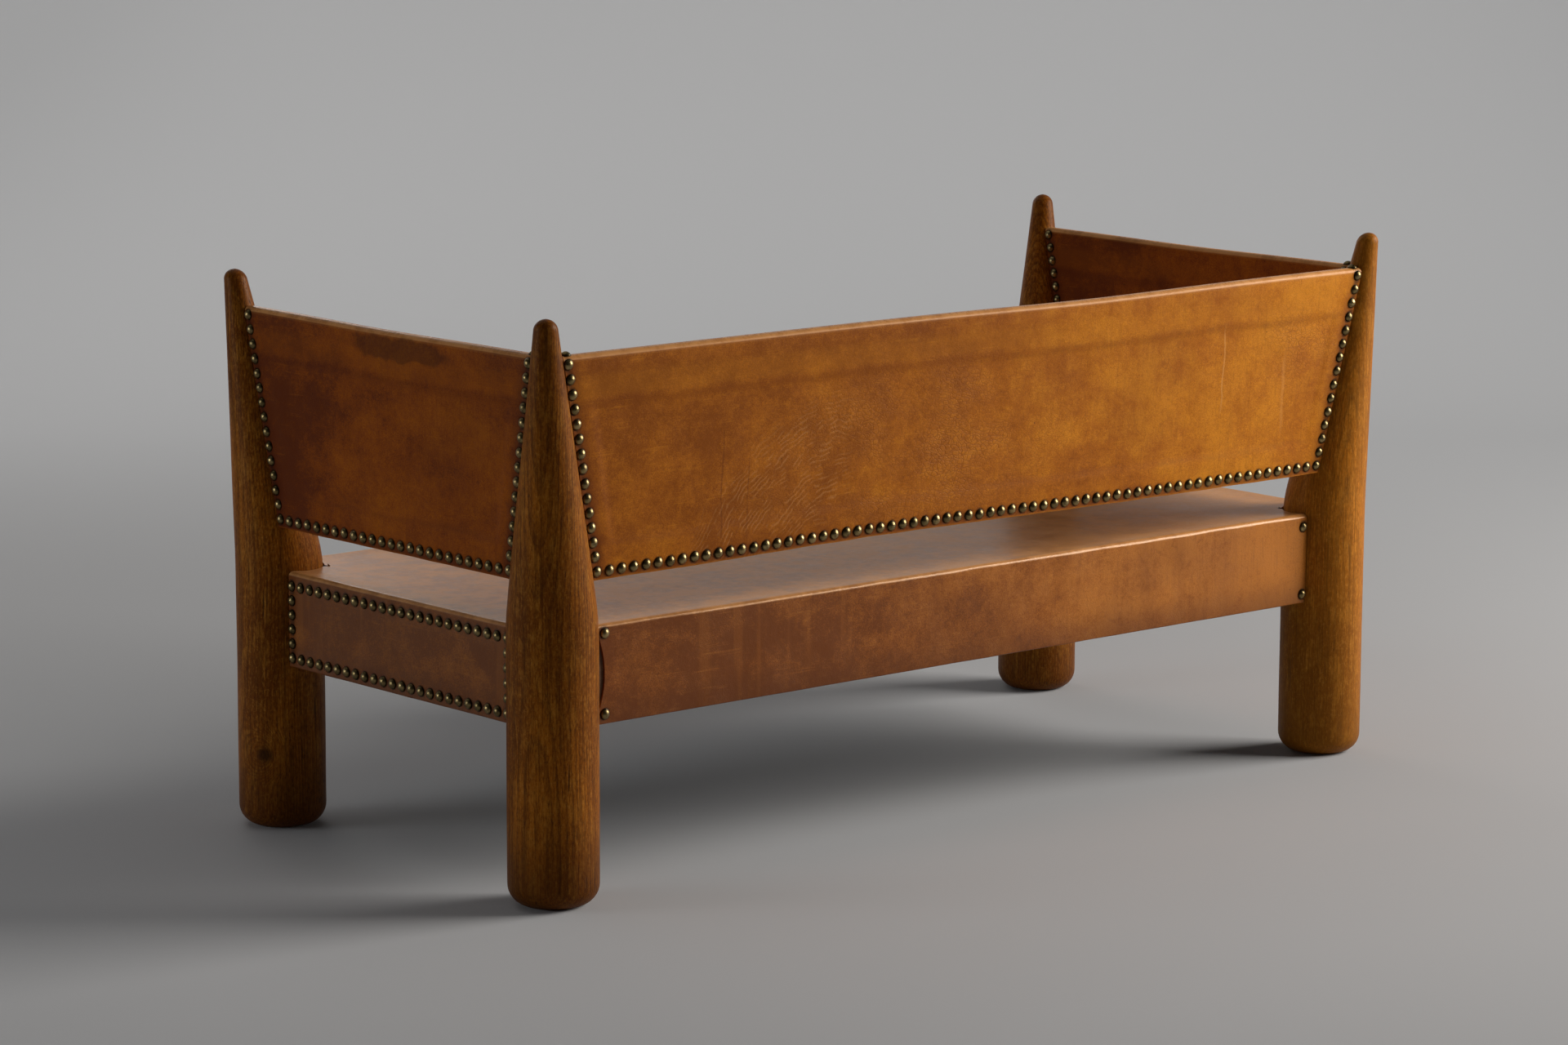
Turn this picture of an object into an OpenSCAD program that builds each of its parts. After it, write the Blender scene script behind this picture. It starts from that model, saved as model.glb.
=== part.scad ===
// Settee: four turned oak legs, a leather-covered seat box between them, and three
// leather-covered panels at the back and the ends, edged with domed brass nails.
// Millimetres, +Z up, origin on the floor under the middle. The front faces -Y.

/* [Legs] */
// Distance between the left and right leg centres at the floor
leg_spacing_x = 1405; // [1100:5:2100]
// Distance between the front and back leg centres at the floor
leg_spacing_y = 588; // [500:2:760]
// Diameter of a leg below its taper
leg_d = 117; // [105:1:130]
// Diameter of the rounded tip of a leg
leg_tip_d = 31; // [28:1:40]
// Height of a leg
leg_h = 750; // [735:5:850]
// Height at which a leg begins to taper
knee_z = 366; // [358:1:400]
// How far the tip of a leg leans outward, along the length and the depth alike
tip_lean = 37.5; // [30:0.5:42]
// Radius of the rounded edge under a foot
foot_round = 28; // [5:1:40]

/* [Seat box] */
// Height of the top of the seat
seat_top = 352; // [330:1:370]
// Height of the lower edge of the seat box
seat_bottom = 225; // [200:1:250]
// How far the front and back of the seat box stand outside the leg centres
seat_face_out = 20; // [14:1:26]
// How far the ends of the seat box stand outside the leg centres
seat_end_out = 24; // [18:1:30]
// Radius of the rounded upper edges of the seat
seat_edge_r = 12; // [8:1:16]
// Thickness of a seat rail
seat_rail_t = 30; // [24:1:36]
// Length of a seat rail's tenon
seat_tenon_l = 34; // [20:1:40]
// Thickness of a seat rail's tenon
seat_tenon_t = 14; // [10:1:18]
// Shoulder above and below a seat rail's tenon
seat_tenon_shoulder = 16; // [10:1:24]
// Thickness of the middle cross rail
cross_rail_t = 24; // [18:1:40]
// How far the cross rail lies under the webbing, which gives when sat on
cross_rail_drop = 25; // [15:1:40]
// Length of the cross rail's tenons
cross_tenon_l = 12; // [8:1:16]

/* [Seat cover] */
// Thickness of the seat hide
hide_t = 3; // [2:0.5:4]
// Width of the hide turned in under the rails
turn_under = 32; // [20:1:60]
// Diameter of the relief hole punched where the hide is notched for a leg
relief_d = 9; // [4:1:14]
// Thickness of the pad under the hide
pad_t = 8; // [6:1:12]
// Thickness of the hessian under the pad
hessian_t = 1; // [0.5:0.5:2]
// Thickness of the webbing
webbing_t = 1.5; // [1:0.5:2]
// Width of a webbing strip
webbing_w = 50; // [40:1:70]
// Least distance between the middles of two webbing strips
webbing_pitch = 98; // [90:1:140]
// Thickness of the bottoming cloth
bottoming_t = 1; // [0.5:0.5:2]

/* [Panels] */
// Height of the lower edge of the panels
panel_bottom = 413; // [405:1:430]
// Height of a panel along its lean
panel_h = 290; // [240:1:292]
// Thickness of a panel over both skins
panel_t = 18; // [16:1:22]
// Thickness of a panel's folded skin
skin_t = 2; // [1.5:0.5:3]
// Radius of the rounded top edge of a panel
panel_edge_r = 7; // [4:0.5:8]
// How far the back panel's outer face stands outside the leg centres, at its lower edge
back_face_out = 28; // [24:0.5:32]
// Backward lean of the back panel, in degrees
back_lean = 3.8; // [2:0.1:4.5]
// How far an end panel's outer face stands outside the leg centres, at its lower edge
end_face_out = 30; // [24:0.5:32]
// Outward lean of an end panel, in degrees
end_lean = 2.1; // [1.5:0.1:4]
// Height of a panel's top rail
top_rail_h = 62; // [50:1:80]
// Height of a panel's bottom rail
bottom_rail_h = 45; // [40:1:60]
// Width of a panel's stile on its outer face
stile_w = 34; // [28:1:50]
// Thickness of the tenons that hold a panel in the legs
panel_tenon_t = 8; // [6:1:10]
// Length of the tenons that hold a panel in the legs
panel_tenon_l = 18; // [12:1:19]
// Shoulder above and below a panel rail's tenon
panel_tenon_shoulder = 9; // [6:1:14]
// Thickness of a stile's stub tenons
stub_t = 5; // [4:0.5:6]
// Width of a stile's stub tenons
stub_w = 16; // [10:1:20]
// Length of a stile's stub tenons
stub_l = 10; // [6:1:14]

/* [Nails] */
// Diameter of a nail's domed head
nail_d = 14; // [10:0.5:16]
// Height of a nail's domed head
nail_h = 4.6; // [3:0.1:6]
// Diameter of a nail's shank
shank_d = 2.2; // [1.6:0.1:3]
// Length of a nail's shank under its head
shank_l = 8.5; // [6:0.5:9]
// Length of a nail's point
point_l = 2.5; // [1.5:0.5:4]
// Distance from a panel's side to the column of nails beside it
nail_side_inset = 8; // [7:0.5:12]
// Distance from a panel's lower edge to its row of nails
nail_bottom_inset = 11; // [8:0.5:16]
// Distance from a panel's top to the highest nail of each column
nail_top_inset = 10.5; // [8:0.5:16]
// Spacing of the nails along the foot of the back panel
back_nail_pitch = 19.7; // [17:0.1:24]
// Spacing of the nails along the foot of an end panel and along the seat's ends
end_nail_pitch = 20.2; // [17:0.1:24]
// Spacing of the nails in the upright columns
side_nail_pitch = 19.2; // [17:0.1:24]
// Distance from the seat's top to the nails under its edge
seat_nail_top_inset = 17; // [16:0.5:22]
// Distance from the seat box's lower edge to the nails above it
seat_nail_bottom_inset = 13; // [10:0.5:20]

/* [Fits] */
// Gap between a leg and the rails, hides and skins scribed to it
scribe_gap = 0.5; // [0.2:0.1:1]
// Gap round a tenon in its mortise
tenon_gap = 0.2; // [0.1:0.05:0.4]

/* [Hidden] */
$fn = 64;

// A ball stands this much proud of the cone or shaft that it rounds off
ball_swell = 0.1;
// A shape that is joined to another or cut from it runs this far past the face
overlap = 1;

OAK = [0.62, 0.38, 0.17];
RAIL_WOOD = [0.74, 0.58, 0.38];
HIDE = [0.72, 0.40, 0.18];
END_HIDE = [0.58, 0.29, 0.12];
BRASS = [0.52, 0.44, 0.26];
JUTE = [0.72, 0.60, 0.42];
PAD = [0.86, 0.82, 0.74];
CLOTH = [0.25, 0.22, 0.19];

half_x = leg_spacing_x / 2;
half_y = leg_spacing_y / 2;
tip_z = leg_h - leg_tip_d / 2;

// Levels of the seat, from the top down
pad_top = seat_top - hide_t;
hessian_top = pad_top - pad_t;
webbing_top = hessian_top - hessian_t;
rail_top = webbing_top - webbing_t;
rail_bottom = seat_bottom + hide_t;

// Faces of the wooden seat frame under the hide
rail_face_y = half_y + seat_face_out - hide_t;
rail_face_x = half_x + seat_end_out - hide_t;
long_rail_mid = rail_face_y - seat_rail_t / 2;
end_rail_mid = rail_face_x - seat_rail_t / 2;
seat_tenon_low = rail_bottom + seat_tenon_shoulder;
seat_tenon_high = rail_top - seat_tenon_shoulder;

// A panel is [half the leg spacing along it, how far its face stands out, its lean]
BACK = [half_x, back_face_out, back_lean];
END = [half_y, end_face_out, end_lean];
core_t = panel_t - 2 * skin_t;
core_top = panel_h - skin_t;
top_rail_foot = core_top - top_rail_h;

function length_of(v) = sqrt(v * v);

// The taper's share at height z, the lean of the leg's middle there, and its radius
function taper(z) = max(0, min(1, (z - knee_z) / (tip_z - knee_z)));
function leg_shift(z) = tip_lean * taper(z);
function leg_radius(z) = (leg_d + (leg_tip_d - leg_d) * taper(z)) / 2;
// Half the width of a leg at height z, on a line that passes its middle at distance d
function leg_reach(z, d) = sqrt(max(0, pow(leg_radius(z), 2) - d * d));

// Height above the floor of the point v up a panel's slope and w out of its middle plane
function slope_z(p, v, w) = panel_bottom + v * cos(p[2]) - w * sin(p[2]);
// Distance of that point outside the leg's middle
function off_leg(p, v, w) =
    p[1] - panel_t / 2 + w * cos(p[2]) + v * sin(p[2]) - leg_shift(slope_z(p, v, w));
// How far along the panel it meets the leg
function side_u(p, v, w) =
    let (z = slope_z(p, v, w)) p[0] + leg_shift(z) - leg_reach(z, off_leg(p, v, w));
// How far along the panel the leg's middle lies
function leg_u(p, v) = p[0] + leg_shift(slope_z(p, v, 0));

// Evenly spaced values from a to b, as near the pitch as they can be
function spread(a, b, pitch) = let (n = max(1, round(abs(b - a) / pitch)))
    [for (i = [0:n]) a + (b - a) * i / n];

// Placing

module at_corner(sx, sy) {
    mirror([sx < 0 ? 1 : 0, 0, 0])
        mirror([0, sy < 0 ? 1 : 0, 0])
            translate([half_x, half_y, 0]) children();
}

module place_back() {
    translate([0, half_y + back_face_out - panel_t / 2, panel_bottom])
        rotate([-back_lean, 0, 0]) children();
}

// The right end is side 1 and the left end is side -1
module place_end(side) {
    rotate([0, 0, -90 * side])
        translate([0, half_x + end_face_out - panel_t / 2, panel_bottom])
            rotate([-end_lean, 0, 0]) children();
}

module along_x(length) {
    rotate([90, 0, 90]) linear_extrude(length, center = true) children();
}

module along_y(length) {
    rotate([90, 0, 0]) linear_extrude(length, center = true) children();
}

module box_between(low, high) {
    translate(low) cube(high - low);
}

// Legs

module leg_solid(grow = 0) {
    r = leg_d / 2 + grow;
    tip_r = leg_tip_d / 2 + grow;
    knee_r = r + ball_swell;
    axis = [tip_lean, tip_lean, tip_z - knee_z];
    run = length_of(axis);
    slope = asin((knee_r - tip_r) / run);
    rotate_extrude() union() {
        square([r - foot_round, knee_z]);
        translate([0, foot_round]) square([r, knee_z - foot_round]);
        intersection() {
            translate([r - foot_round, foot_round]) circle(foot_round);
            square([r, foot_round]);
        }
    }
    translate([0, 0, knee_z]) rotate([0, acos(axis[2] / run), atan2(axis[1], axis[0])]) {
        sphere(knee_r);
        translate([0, 0, knee_r * sin(slope) - overlap / 2])
            cylinder(run + (tip_r - knee_r) * sin(slope), knee_r * cos(slope), tip_r * cos(slope));
        translate([0, 0, run]) sphere(tip_r + ball_swell / 5);
    }
}

module legs_cutter(corners = [[-1, -1], [1, -1], [-1, 1], [1, 1]]) {
    for (c = corners) at_corner(c[0], c[1]) leg_solid(scribe_gap);
}

module leg(sx, sy) {
    color(OAK) difference() {
        at_corner(sx, sy) leg_solid();
        long_rail_tenons(sy, tenon_gap);
        end_rail_tenons(sx, tenon_gap);
        place_end(sx) panel_tenons(END, tenon_gap);
        if (sy > 0) place_back() panel_tenons(BACK, tenon_gap);
    }
}

// Seat frame

module long_rail_tenons(sy, gap = 0) {
    root = half_x - leg_reach(rail_bottom, long_rail_mid - half_y);
    y = sy * long_rail_mid;
    side = seat_tenon_t / 2 + gap;
    for (sx = [-1, 1]) mirror([sx < 0 ? 1 : 0, 0, 0])
        box_between(
            [root - seat_rail_t, y - side, seat_tenon_low - gap],
            [root + seat_tenon_l + gap, y + side, seat_tenon_high + gap]);
}

module end_rail_tenons(sx, gap = 0) {
    root = half_y - leg_reach(rail_bottom, end_rail_mid - half_x);
    x = sx * end_rail_mid;
    side = seat_tenon_t / 2 + gap;
    for (sy = [-1, 1]) mirror([0, sy < 0 ? 1 : 0, 0])
        box_between(
            [x - side, root - seat_rail_t, seat_tenon_low - gap],
            [x + side, root + seat_tenon_l + gap, seat_tenon_high + gap]);
}

module cross_tenons(gap = 0) {
    reach = long_rail_mid - seat_rail_t / 2 + cross_tenon_l + gap;
    box_between(
        [-cross_rail_t / 4 - gap, -reach, seat_tenon_low - gap],
        [cross_rail_t / 4 + gap, reach, seat_tenon_high - cross_rail_drop + gap]);
}

module long_rail(sy) {
    y = sy * long_rail_mid;
    color(RAIL_WOOD) difference() {
        union() {
            difference() {
                box_between(
                    [-half_x, y - seat_rail_t / 2, rail_bottom],
                    [half_x, y + seat_rail_t / 2, rail_top]);
                legs_cutter([[-1, sy], [1, sy]]);
            }
            long_rail_tenons(sy);
        }
        cross_tenons(tenon_gap);
    }
}

module end_rail(sx) {
    x = sx * end_rail_mid;
    color(RAIL_WOOD) union() {
        difference() {
            box_between(
                [x - seat_rail_t / 2, -half_y, rail_bottom],
                [x + seat_rail_t / 2, half_y, rail_top]);
            legs_cutter([[sx, -1], [sx, 1]]);
        }
        end_rail_tenons(sx);
    }
}

module seat_cross_rail() {
    reach = long_rail_mid - seat_rail_t / 2 - tenon_gap;
    color(RAIL_WOOD) union() {
        box_between(
            [-cross_rail_t / 2, -reach, rail_bottom + overlap],
            [cross_rail_t / 2, reach, rail_top - cross_rail_drop]);
        cross_tenons();
    }
}

// Seat cover, from the webbing up

// Middles of the strips that fit between two legs whose centres lie at plus and minus half
function strip_places(half) =
    let (room = half - leg_d / 2 - webbing_w / 2 - overlap, n = floor(2 * room / webbing_pitch))
    [for (i = [0:n]) (i - n / 2) * webbing_pitch];

long_strips = strip_places(half_y);
cross_strips = strip_places(half_x);

// Underside of a strip that passes over and under the strips at the given places
function weave(places, first) = [
    for (i = [0:len(places) - 1], side = [-1, 1])
        [places[i] + side * (webbing_w / 2 + overlap), (i + first) % 2 == 0 ? 0 : -webbing_t]
];

module woven_strip(places, first, reach) {
    line = concat([[-reach, 0], [-reach + seat_rail_t, 0]], weave(places, first),
                  [[reach - seat_rail_t, 0], [reach, 0]]);
    back = [for (i = [len(line) - 1:-1:0]) line[i] + [0, webbing_t]];
    polygon(concat(line, back));
}

module webbing_lengthwise() {
    color(JUTE) for (i = [0:len(long_strips) - 1])
        translate([0, long_strips[i], rail_top])
            rotate([90, 0, 0]) linear_extrude(webbing_w, center = true)
                woven_strip(cross_strips, i, rail_face_x - seat_edge_r);
}

module webbing_crosswise() {
    color(JUTE) for (i = [0:len(cross_strips) - 1])
        translate([cross_strips[i], 0, rail_top])
            along_x(webbing_w) woven_strip(long_strips, i + 1, rail_face_y - seat_edge_r);
}

// Upright section with rounded upper corners
module rounded_top(half_w, low, high, r) {
    translate([-half_w, low]) square([2 * half_w, high - low - r]);
    translate([r - half_w, low]) square([2 * (half_w - r), high - low]);
    for (side = [-1, 1]) translate([side * (half_w - r), high - r]) circle(r);
}

// The seat box, drawn in from its outside by the inset
module seat_block(inset, low, high) {
    face_x = half_x + seat_end_out - inset;
    face_y = half_y + seat_face_out - inset;
    intersection() {
        along_x(2 * face_x) rounded_top(face_y, low, high, seat_edge_r - inset);
        along_y(2 * face_y) rounded_top(face_x, low, high, seat_edge_r - inset);
    }
}

module seat_hessian() {
    edge = seat_edge_r / 2;
    color(JUTE) difference() {
        box_between(
            [edge - rail_face_x, edge - rail_face_y, webbing_top],
            [rail_face_x - edge, rail_face_y - edge, hessian_top]);
        legs_cutter();
    }
}

module seat_pad() {
    color(PAD) difference() {
        intersection() {
            seat_block(hide_t, rail_bottom, pad_top);
            box_between([-rail_face_x, -rail_face_y, hessian_top], [rail_face_x, rail_face_y, pad_top]);
        }
        legs_cutter();
    }
}

module seat_leather() {
    open_x = half_x + seat_end_out - turn_under;
    open_y = half_y + seat_face_out - turn_under;
    color(HIDE) difference() {
        seat_block(0, seat_bottom, seat_top);
        seat_block(hide_t, rail_bottom, pad_top);
        box_between([-open_x, -open_y, seat_bottom - overlap], [open_x, open_y, rail_bottom + overlap]);
        legs_cutter();
        for (sx = [-1, 1], sy = [-1, 1])
            translate([
                sx * (half_x - leg_d / 2 * cos(45)),
                sy * (half_y - leg_d / 2 * sin(45)),
                pad_top - overlap
            ]) cylinder(hide_t + 2 * overlap, d = relief_d);
    }
}

module bottoming_cloth() {
    edge = turn_under / 3;
    color(CLOTH) difference() {
        box_between(
            [edge - rail_face_x, edge - rail_face_y, seat_bottom - bottoming_t],
            [rail_face_x - edge, rail_face_y - edge, seat_bottom]);
        legs_cutter();
    }
}

// Panels. In a panel's own frame X runs along it, Y points out of the sofa, and Z runs up
// its slope from the lower edge.

// The panel's outline, out to the middles of its legs
module panel_outline(p, low, high) {
    rotate([90, 0, 0]) linear_extrude(2 * panel_t, center = true) polygon([
        [-leg_u(p, low), low], [leg_u(p, low), low],
        [leg_u(p, high), high], [-leg_u(p, high), high]
    ]);
}

module panel_tenons(p, gap = 0) {
    for (rail = [[0, bottom_rail_h], [top_rail_foot, core_top]]) {
        low = rail[0] + panel_tenon_shoulder;
        high = rail[1] - panel_tenon_shoulder;
        root = side_u(p, (low + high) / 2, 0);
        for (side = [-1, 1]) mirror([side < 0 ? 1 : 0, 0, 0])
            box_between(
                [root - panel_tenon_l, -panel_tenon_t / 2 - gap, low - gap],
                [root + panel_tenon_l + gap, panel_tenon_t / 2 + gap, high + gap]);
    }
}

// Both stub tenons of a stile, at the end of the panel that side names
module stubs(p, side, gap = 0) {
    for (v = [bottom_rail_h, top_rail_foot])
        translate([side * (side_u(p, v, panel_t / 2) - stile_w / 2), 0, v])
            cube([stub_w + 2 * gap, stub_t + 2 * gap, 2 * (stub_l + gap)], center = true);
}

module top_rail_blank(p) {
    intersection() {
        along_x(2 * leg_u(p, panel_h))
            rounded_top(core_t / 2, top_rail_foot, core_top, panel_edge_r - skin_t);
        panel_outline(p, 0, panel_h);
    }
}

module bottom_rail_blank(p) {
    intersection() {
        along_x(2 * leg_u(p, panel_h)) translate([-core_t / 2, 0]) square([core_t, bottom_rail_h]);
        panel_outline(p, 0, panel_h);
    }
}

module stile_blank(p, side) {
    low = bottom_rail_h;
    high = top_rail_foot;
    rotate([90, 0, 0]) linear_extrude(core_t, center = true) polygon([
        [side * (side_u(p, low, panel_t / 2) - stile_w), low],
        [side * leg_u(p, low), low],
        [side * leg_u(p, high), high],
        [side * (side_u(p, high, panel_t / 2) - stile_w), high]
    ]);
}

module skin_blank(p) {
    intersection() {
        along_x(2 * leg_u(p, panel_h)) difference() {
            rounded_top(panel_t / 2, 0, panel_h, panel_edge_r);
            rounded_top(core_t / 2, -overlap, core_top, panel_edge_r - skin_t);
        }
        panel_outline(p, 0, panel_h);
    }
}

// The tenons of the rail that lies between two heights of the panel
module rail_tenons(p, low, high) {
    intersection() {
        panel_tenons(p);
        box_between([-leg_spacing_x, -panel_t, low], [leg_spacing_x, panel_t, high]);
    }
}

module nail() {
    dome_r = (pow(nail_d / 2, 2) + pow(nail_h, 2)) / (2 * nail_h);
    rotate_extrude() union() {
        intersection() {
            translate([0, nail_h - dome_r]) circle(dome_r);
            square([nail_d / 2, nail_h]);
        }
        polygon([
            [0, -shank_l], [shank_d / 2, point_l - shank_l],
            [shank_d / 2, overlap / 2], [0, overlap / 2]
        ]);
    }
}

// Nails along the foot and up both sides of a panel, on its outer face or its inner one
module panel_nails(p, pitch, face) {
    w = face * panel_t / 2;
    low = nail_bottom_inset;
    high = panel_h - nail_top_inset;
    corner = side_u(p, low, w) - nail_side_inset;
    row = [for (u = spread(-corner, corner, pitch)) [u, low]];
    levels = spread(low, high, side_nail_pitch);
    columns = [for (i = [1:len(levels) - 1], side = [-1, 1])
        [side * (side_u(p, levels[i], w) - nail_side_inset), levels[i]]];
    for (at = concat(row, columns))
        translate([at[0], w, at[1]]) rotate([-90 * face, 0, 0]) nail();
}

// One nail in the top edge, beside the leg
module top_nail(p, side) {
    translate([side * (side_u(p, panel_h, 0) - nail_side_inset), 0, panel_h]) nail();
}

// Nails round the end of the seat box
module seat_nails(side) {
    face = half_x + seat_end_out;
    corner = half_y - leg_reach(seat_bottom, seat_end_out) - nail_side_inset;
    low = seat_bottom + seat_nail_bottom_inset;
    high = seat_top - seat_nail_top_inset;
    levels = spread(low, high, side_nail_pitch);
    rows = [for (y = spread(-corner, corner, end_nail_pitch), z = [low, high]) [y, z]];
    columns = [for (i = [1:1:len(levels) - 2], y = [-corner, corner]) [y, levels[i]]];
    color(BRASS) for (at = concat(rows, columns))
        translate([side * face, at[0], at[1]]) rotate([0, 90 * side, 0]) nail();
}

// Four nails at the ends of the front and of the back
module seat_corner_nails() {
    x = half_x - leg_reach(seat_bottom, seat_face_out) - nail_side_inset;
    levels = [seat_bottom + seat_nail_bottom_inset, seat_top - seat_nail_top_inset];
    color(BRASS) for (sx = [-1, 1], sy = [-1, 1], z = levels)
        translate([sx * x, sy * (half_y + seat_face_out), z]) rotate([-90 * sy, 0, 0]) nail();
}

// Back panel

module back_top_rail() {
    color(RAIL_WOOD) difference() {
        union() {
            difference() {
                place_back() top_rail_blank(BACK);
                legs_cutter([[-1, 1], [1, 1]]);
            }
            place_back() rail_tenons(BACK, top_rail_foot, core_top);
        }
        for (side = [-1, 1]) place_back() stubs(BACK, side, tenon_gap);
    }
}

module back_bottom_rail() {
    color(RAIL_WOOD) difference() {
        union() {
            difference() {
                place_back() bottom_rail_blank(BACK);
                legs_cutter([[-1, 1], [1, 1]]);
            }
            place_back() rail_tenons(BACK, 0, bottom_rail_h);
        }
        for (side = [-1, 1]) place_back() stubs(BACK, side, tenon_gap);
    }
}

module back_stile(side) {
    color(RAIL_WOOD) union() {
        difference() {
            place_back() stile_blank(BACK, side);
            legs_cutter([[side, 1]]);
        }
        place_back() stubs(BACK, side);
    }
}

module back_leather() {
    color(HIDE) difference() {
        place_back() skin_blank(BACK);
        legs_cutter([[-1, 1], [1, 1]]);
    }
}

module back_nails_outside() {
    color(BRASS) place_back() {
        panel_nails(BACK, back_nail_pitch, 1);
        for (side = [-1, 1]) top_nail(BACK, side);
    }
}

module back_nails_inside() {
    color(BRASS) place_back() panel_nails(BACK, back_nail_pitch, -1);
}

// End panels. Seen from inside the sofa, the front of the right end is the panel's own
// side 1 and the front of the left end is its side -1.

module end_top_rail(end) {
    color(RAIL_WOOD) difference() {
        union() {
            difference() {
                place_end(end) top_rail_blank(END);
                legs_cutter([[end, -1], [end, 1]]);
            }
            place_end(end) rail_tenons(END, top_rail_foot, core_top);
        }
        for (side = [-1, 1]) place_end(end) stubs(END, side, tenon_gap);
    }
}

module end_bottom_rail(end) {
    color(RAIL_WOOD) difference() {
        union() {
            difference() {
                place_end(end) bottom_rail_blank(END);
                legs_cutter([[end, -1], [end, 1]]);
            }
            place_end(end) rail_tenons(END, 0, bottom_rail_h);
        }
        for (side = [-1, 1]) place_end(end) stubs(END, side, tenon_gap);
    }
}

// depth is -1 for the front stile and 1 for the back one
module end_stile(end, depth) {
    side = -end * depth;
    color(RAIL_WOOD) union() {
        difference() {
            place_end(end) stile_blank(END, side);
            legs_cutter([[end, depth]]);
        }
        place_end(end) stubs(END, side);
    }
}

module end_leather(end) {
    color(END_HIDE) difference() {
        place_end(end) skin_blank(END);
        legs_cutter([[end, -1], [end, 1]]);
    }
}

module end_nails_outside(end) {
    color(BRASS) place_end(end) {
        panel_nails(END, end_nail_pitch, 1);
        top_nail(END, -end);
    }
}

module end_nails_inside(end) {
    color(BRASS) place_end(end) panel_nails(END, end_nail_pitch, -1);
}

leg(-1, -1);  // leg_front_left
leg(1, -1);  // leg_front_right
leg(-1, 1);  // leg_back_left
leg(1, 1);  // leg_back_right
long_rail(-1);  // seat_rail_front
long_rail(1);  // seat_rail_back
end_rail(-1);  // seat_rail_left
end_rail(1);  // seat_rail_right
seat_cross_rail();
webbing_lengthwise();
webbing_crosswise();
seat_hessian();
seat_pad();
seat_leather();
bottoming_cloth();
seat_nails(-1);  // seat_nails_left
seat_nails(1);  // seat_nails_right
seat_corner_nails();
back_top_rail();
back_bottom_rail();
back_stile(-1);  // back_stile_left
back_stile(1);  // back_stile_right
back_leather();
back_nails_outside();
back_nails_inside();
end_top_rail(-1);  // left_top_rail
end_bottom_rail(-1);  // left_bottom_rail
end_stile(-1, -1);  // left_stile_front
end_stile(-1, 1);  // left_stile_back
end_leather(-1);  // left_leather
end_nails_outside(-1);  // left_nails_outside
end_nails_inside(-1);  // left_nails_inside
end_top_rail(1);  // right_top_rail
end_bottom_rail(1);  // right_bottom_rail
end_stile(1, -1);  // right_stile_front
end_stile(1, 1);  // right_stile_back
end_leather(1);  // right_leather
end_nails_outside(1);  // right_nails_outside
end_nails_inside(1);  // right_nails_inside
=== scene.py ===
"""Looks of the settee: oak legs, leather over a seat box and three panels, and domed brass nails.

Everything is in metres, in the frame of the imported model: +Z up, the open front faces -Y.
"""
import math

import bpy
import bmesh
import numpy as np
from mathutils import Matrix, Vector, noise
from mathutils.bvhtree import BVHTree


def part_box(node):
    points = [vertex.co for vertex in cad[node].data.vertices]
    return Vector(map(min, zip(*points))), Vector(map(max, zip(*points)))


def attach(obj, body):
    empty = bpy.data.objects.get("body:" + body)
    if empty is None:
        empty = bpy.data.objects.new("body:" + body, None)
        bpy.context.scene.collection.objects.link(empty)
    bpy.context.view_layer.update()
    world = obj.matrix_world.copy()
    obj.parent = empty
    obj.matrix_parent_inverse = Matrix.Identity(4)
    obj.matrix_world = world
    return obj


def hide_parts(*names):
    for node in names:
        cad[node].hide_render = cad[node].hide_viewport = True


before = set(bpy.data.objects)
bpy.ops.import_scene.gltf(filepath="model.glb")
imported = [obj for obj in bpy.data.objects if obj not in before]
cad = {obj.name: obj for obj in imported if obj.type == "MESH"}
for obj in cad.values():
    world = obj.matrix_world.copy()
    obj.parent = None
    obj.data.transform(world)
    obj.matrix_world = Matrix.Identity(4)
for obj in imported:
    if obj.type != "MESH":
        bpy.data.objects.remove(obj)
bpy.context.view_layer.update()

# Camera, as it stood in the photograph
CAMERA_PLACE = (4.468, 5.0752, 1.5386)
CAMERA_YAW = 40.943
CAMERA_PITCH = 9.8
CAMERA_ROLL = 0.188
CAMERA_LENS = 113.85

# Legs
KNEE_Z = 0.366
TIP_R = 0.0155
TIP_LEAN = 0.0375
FOOT_ROUND = 0.028
KNEE_SOFTNESS = 0.05
LEG_SEGMENTS = 72
SHAFT_ROWS = 84
LEG_WOBBLE = 0.0004
SCRIBE_GAP = 0.0008

# Panels
PANEL_BOTTOM = 0.413
PANEL_H = 0.290
PANEL_T = 0.018
PANEL_EDGE_R = 0.007
SKIN_T = 0.002
BACK_OUT = 0.028
BACK_LEAN = 3.8
# Dips of a panel's top edge and rises of its foot: amount, middle and width
BACK_DIP = (0.0032, -0.20, 0.22)
BACK_RISE = (0.0040, 0.17, 0.28)
END_OUT = 0.030
END_LEAN = 2.1
END_DIP = (0.0018, 0.0, 0.16)
END_RISE = (0.0004, 0.0, 0.16)
TOP_RAIL_H = 0.064
BOTTOM_RAIL_H = 0.045
STILE_W = 0.034
PANEL_ROWS = 56
RAIL_SLICES = 42
# How far the skin puffs up between nails and sinks between the rails, and its waves' heights and sizes
SKIN_PUFF = 0.00055
SKIN_SINK = 0.0011
SKIN_WAVE = (0.0006, 0.085)
SKIN_RIPPLE = (0.00022, 0.030)
SKIN_FOOT_WAVE = (0.0006, 0.045)

# Seat
SEAT_EDGE_R = 0.012
HIDE_EDGE_R = 0.0065
HIDE_FOLD_R = 0.0018
HIDE_T = 0.003
PAD_T = 0.008
HESSIAN_T = 0.001
WEBBING_T = 0.0015
WEBBING_W = 0.050
WEBBING_PITCH = 0.098
TURN_UNDER = 0.032
BOTTOMING_T = 0.001
SEAT_SAG = 0.003
NOTCH_GAP = 0.0009
RELIEF_DEPTH = 0.0055
RELIEF_W = 0.0036
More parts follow.
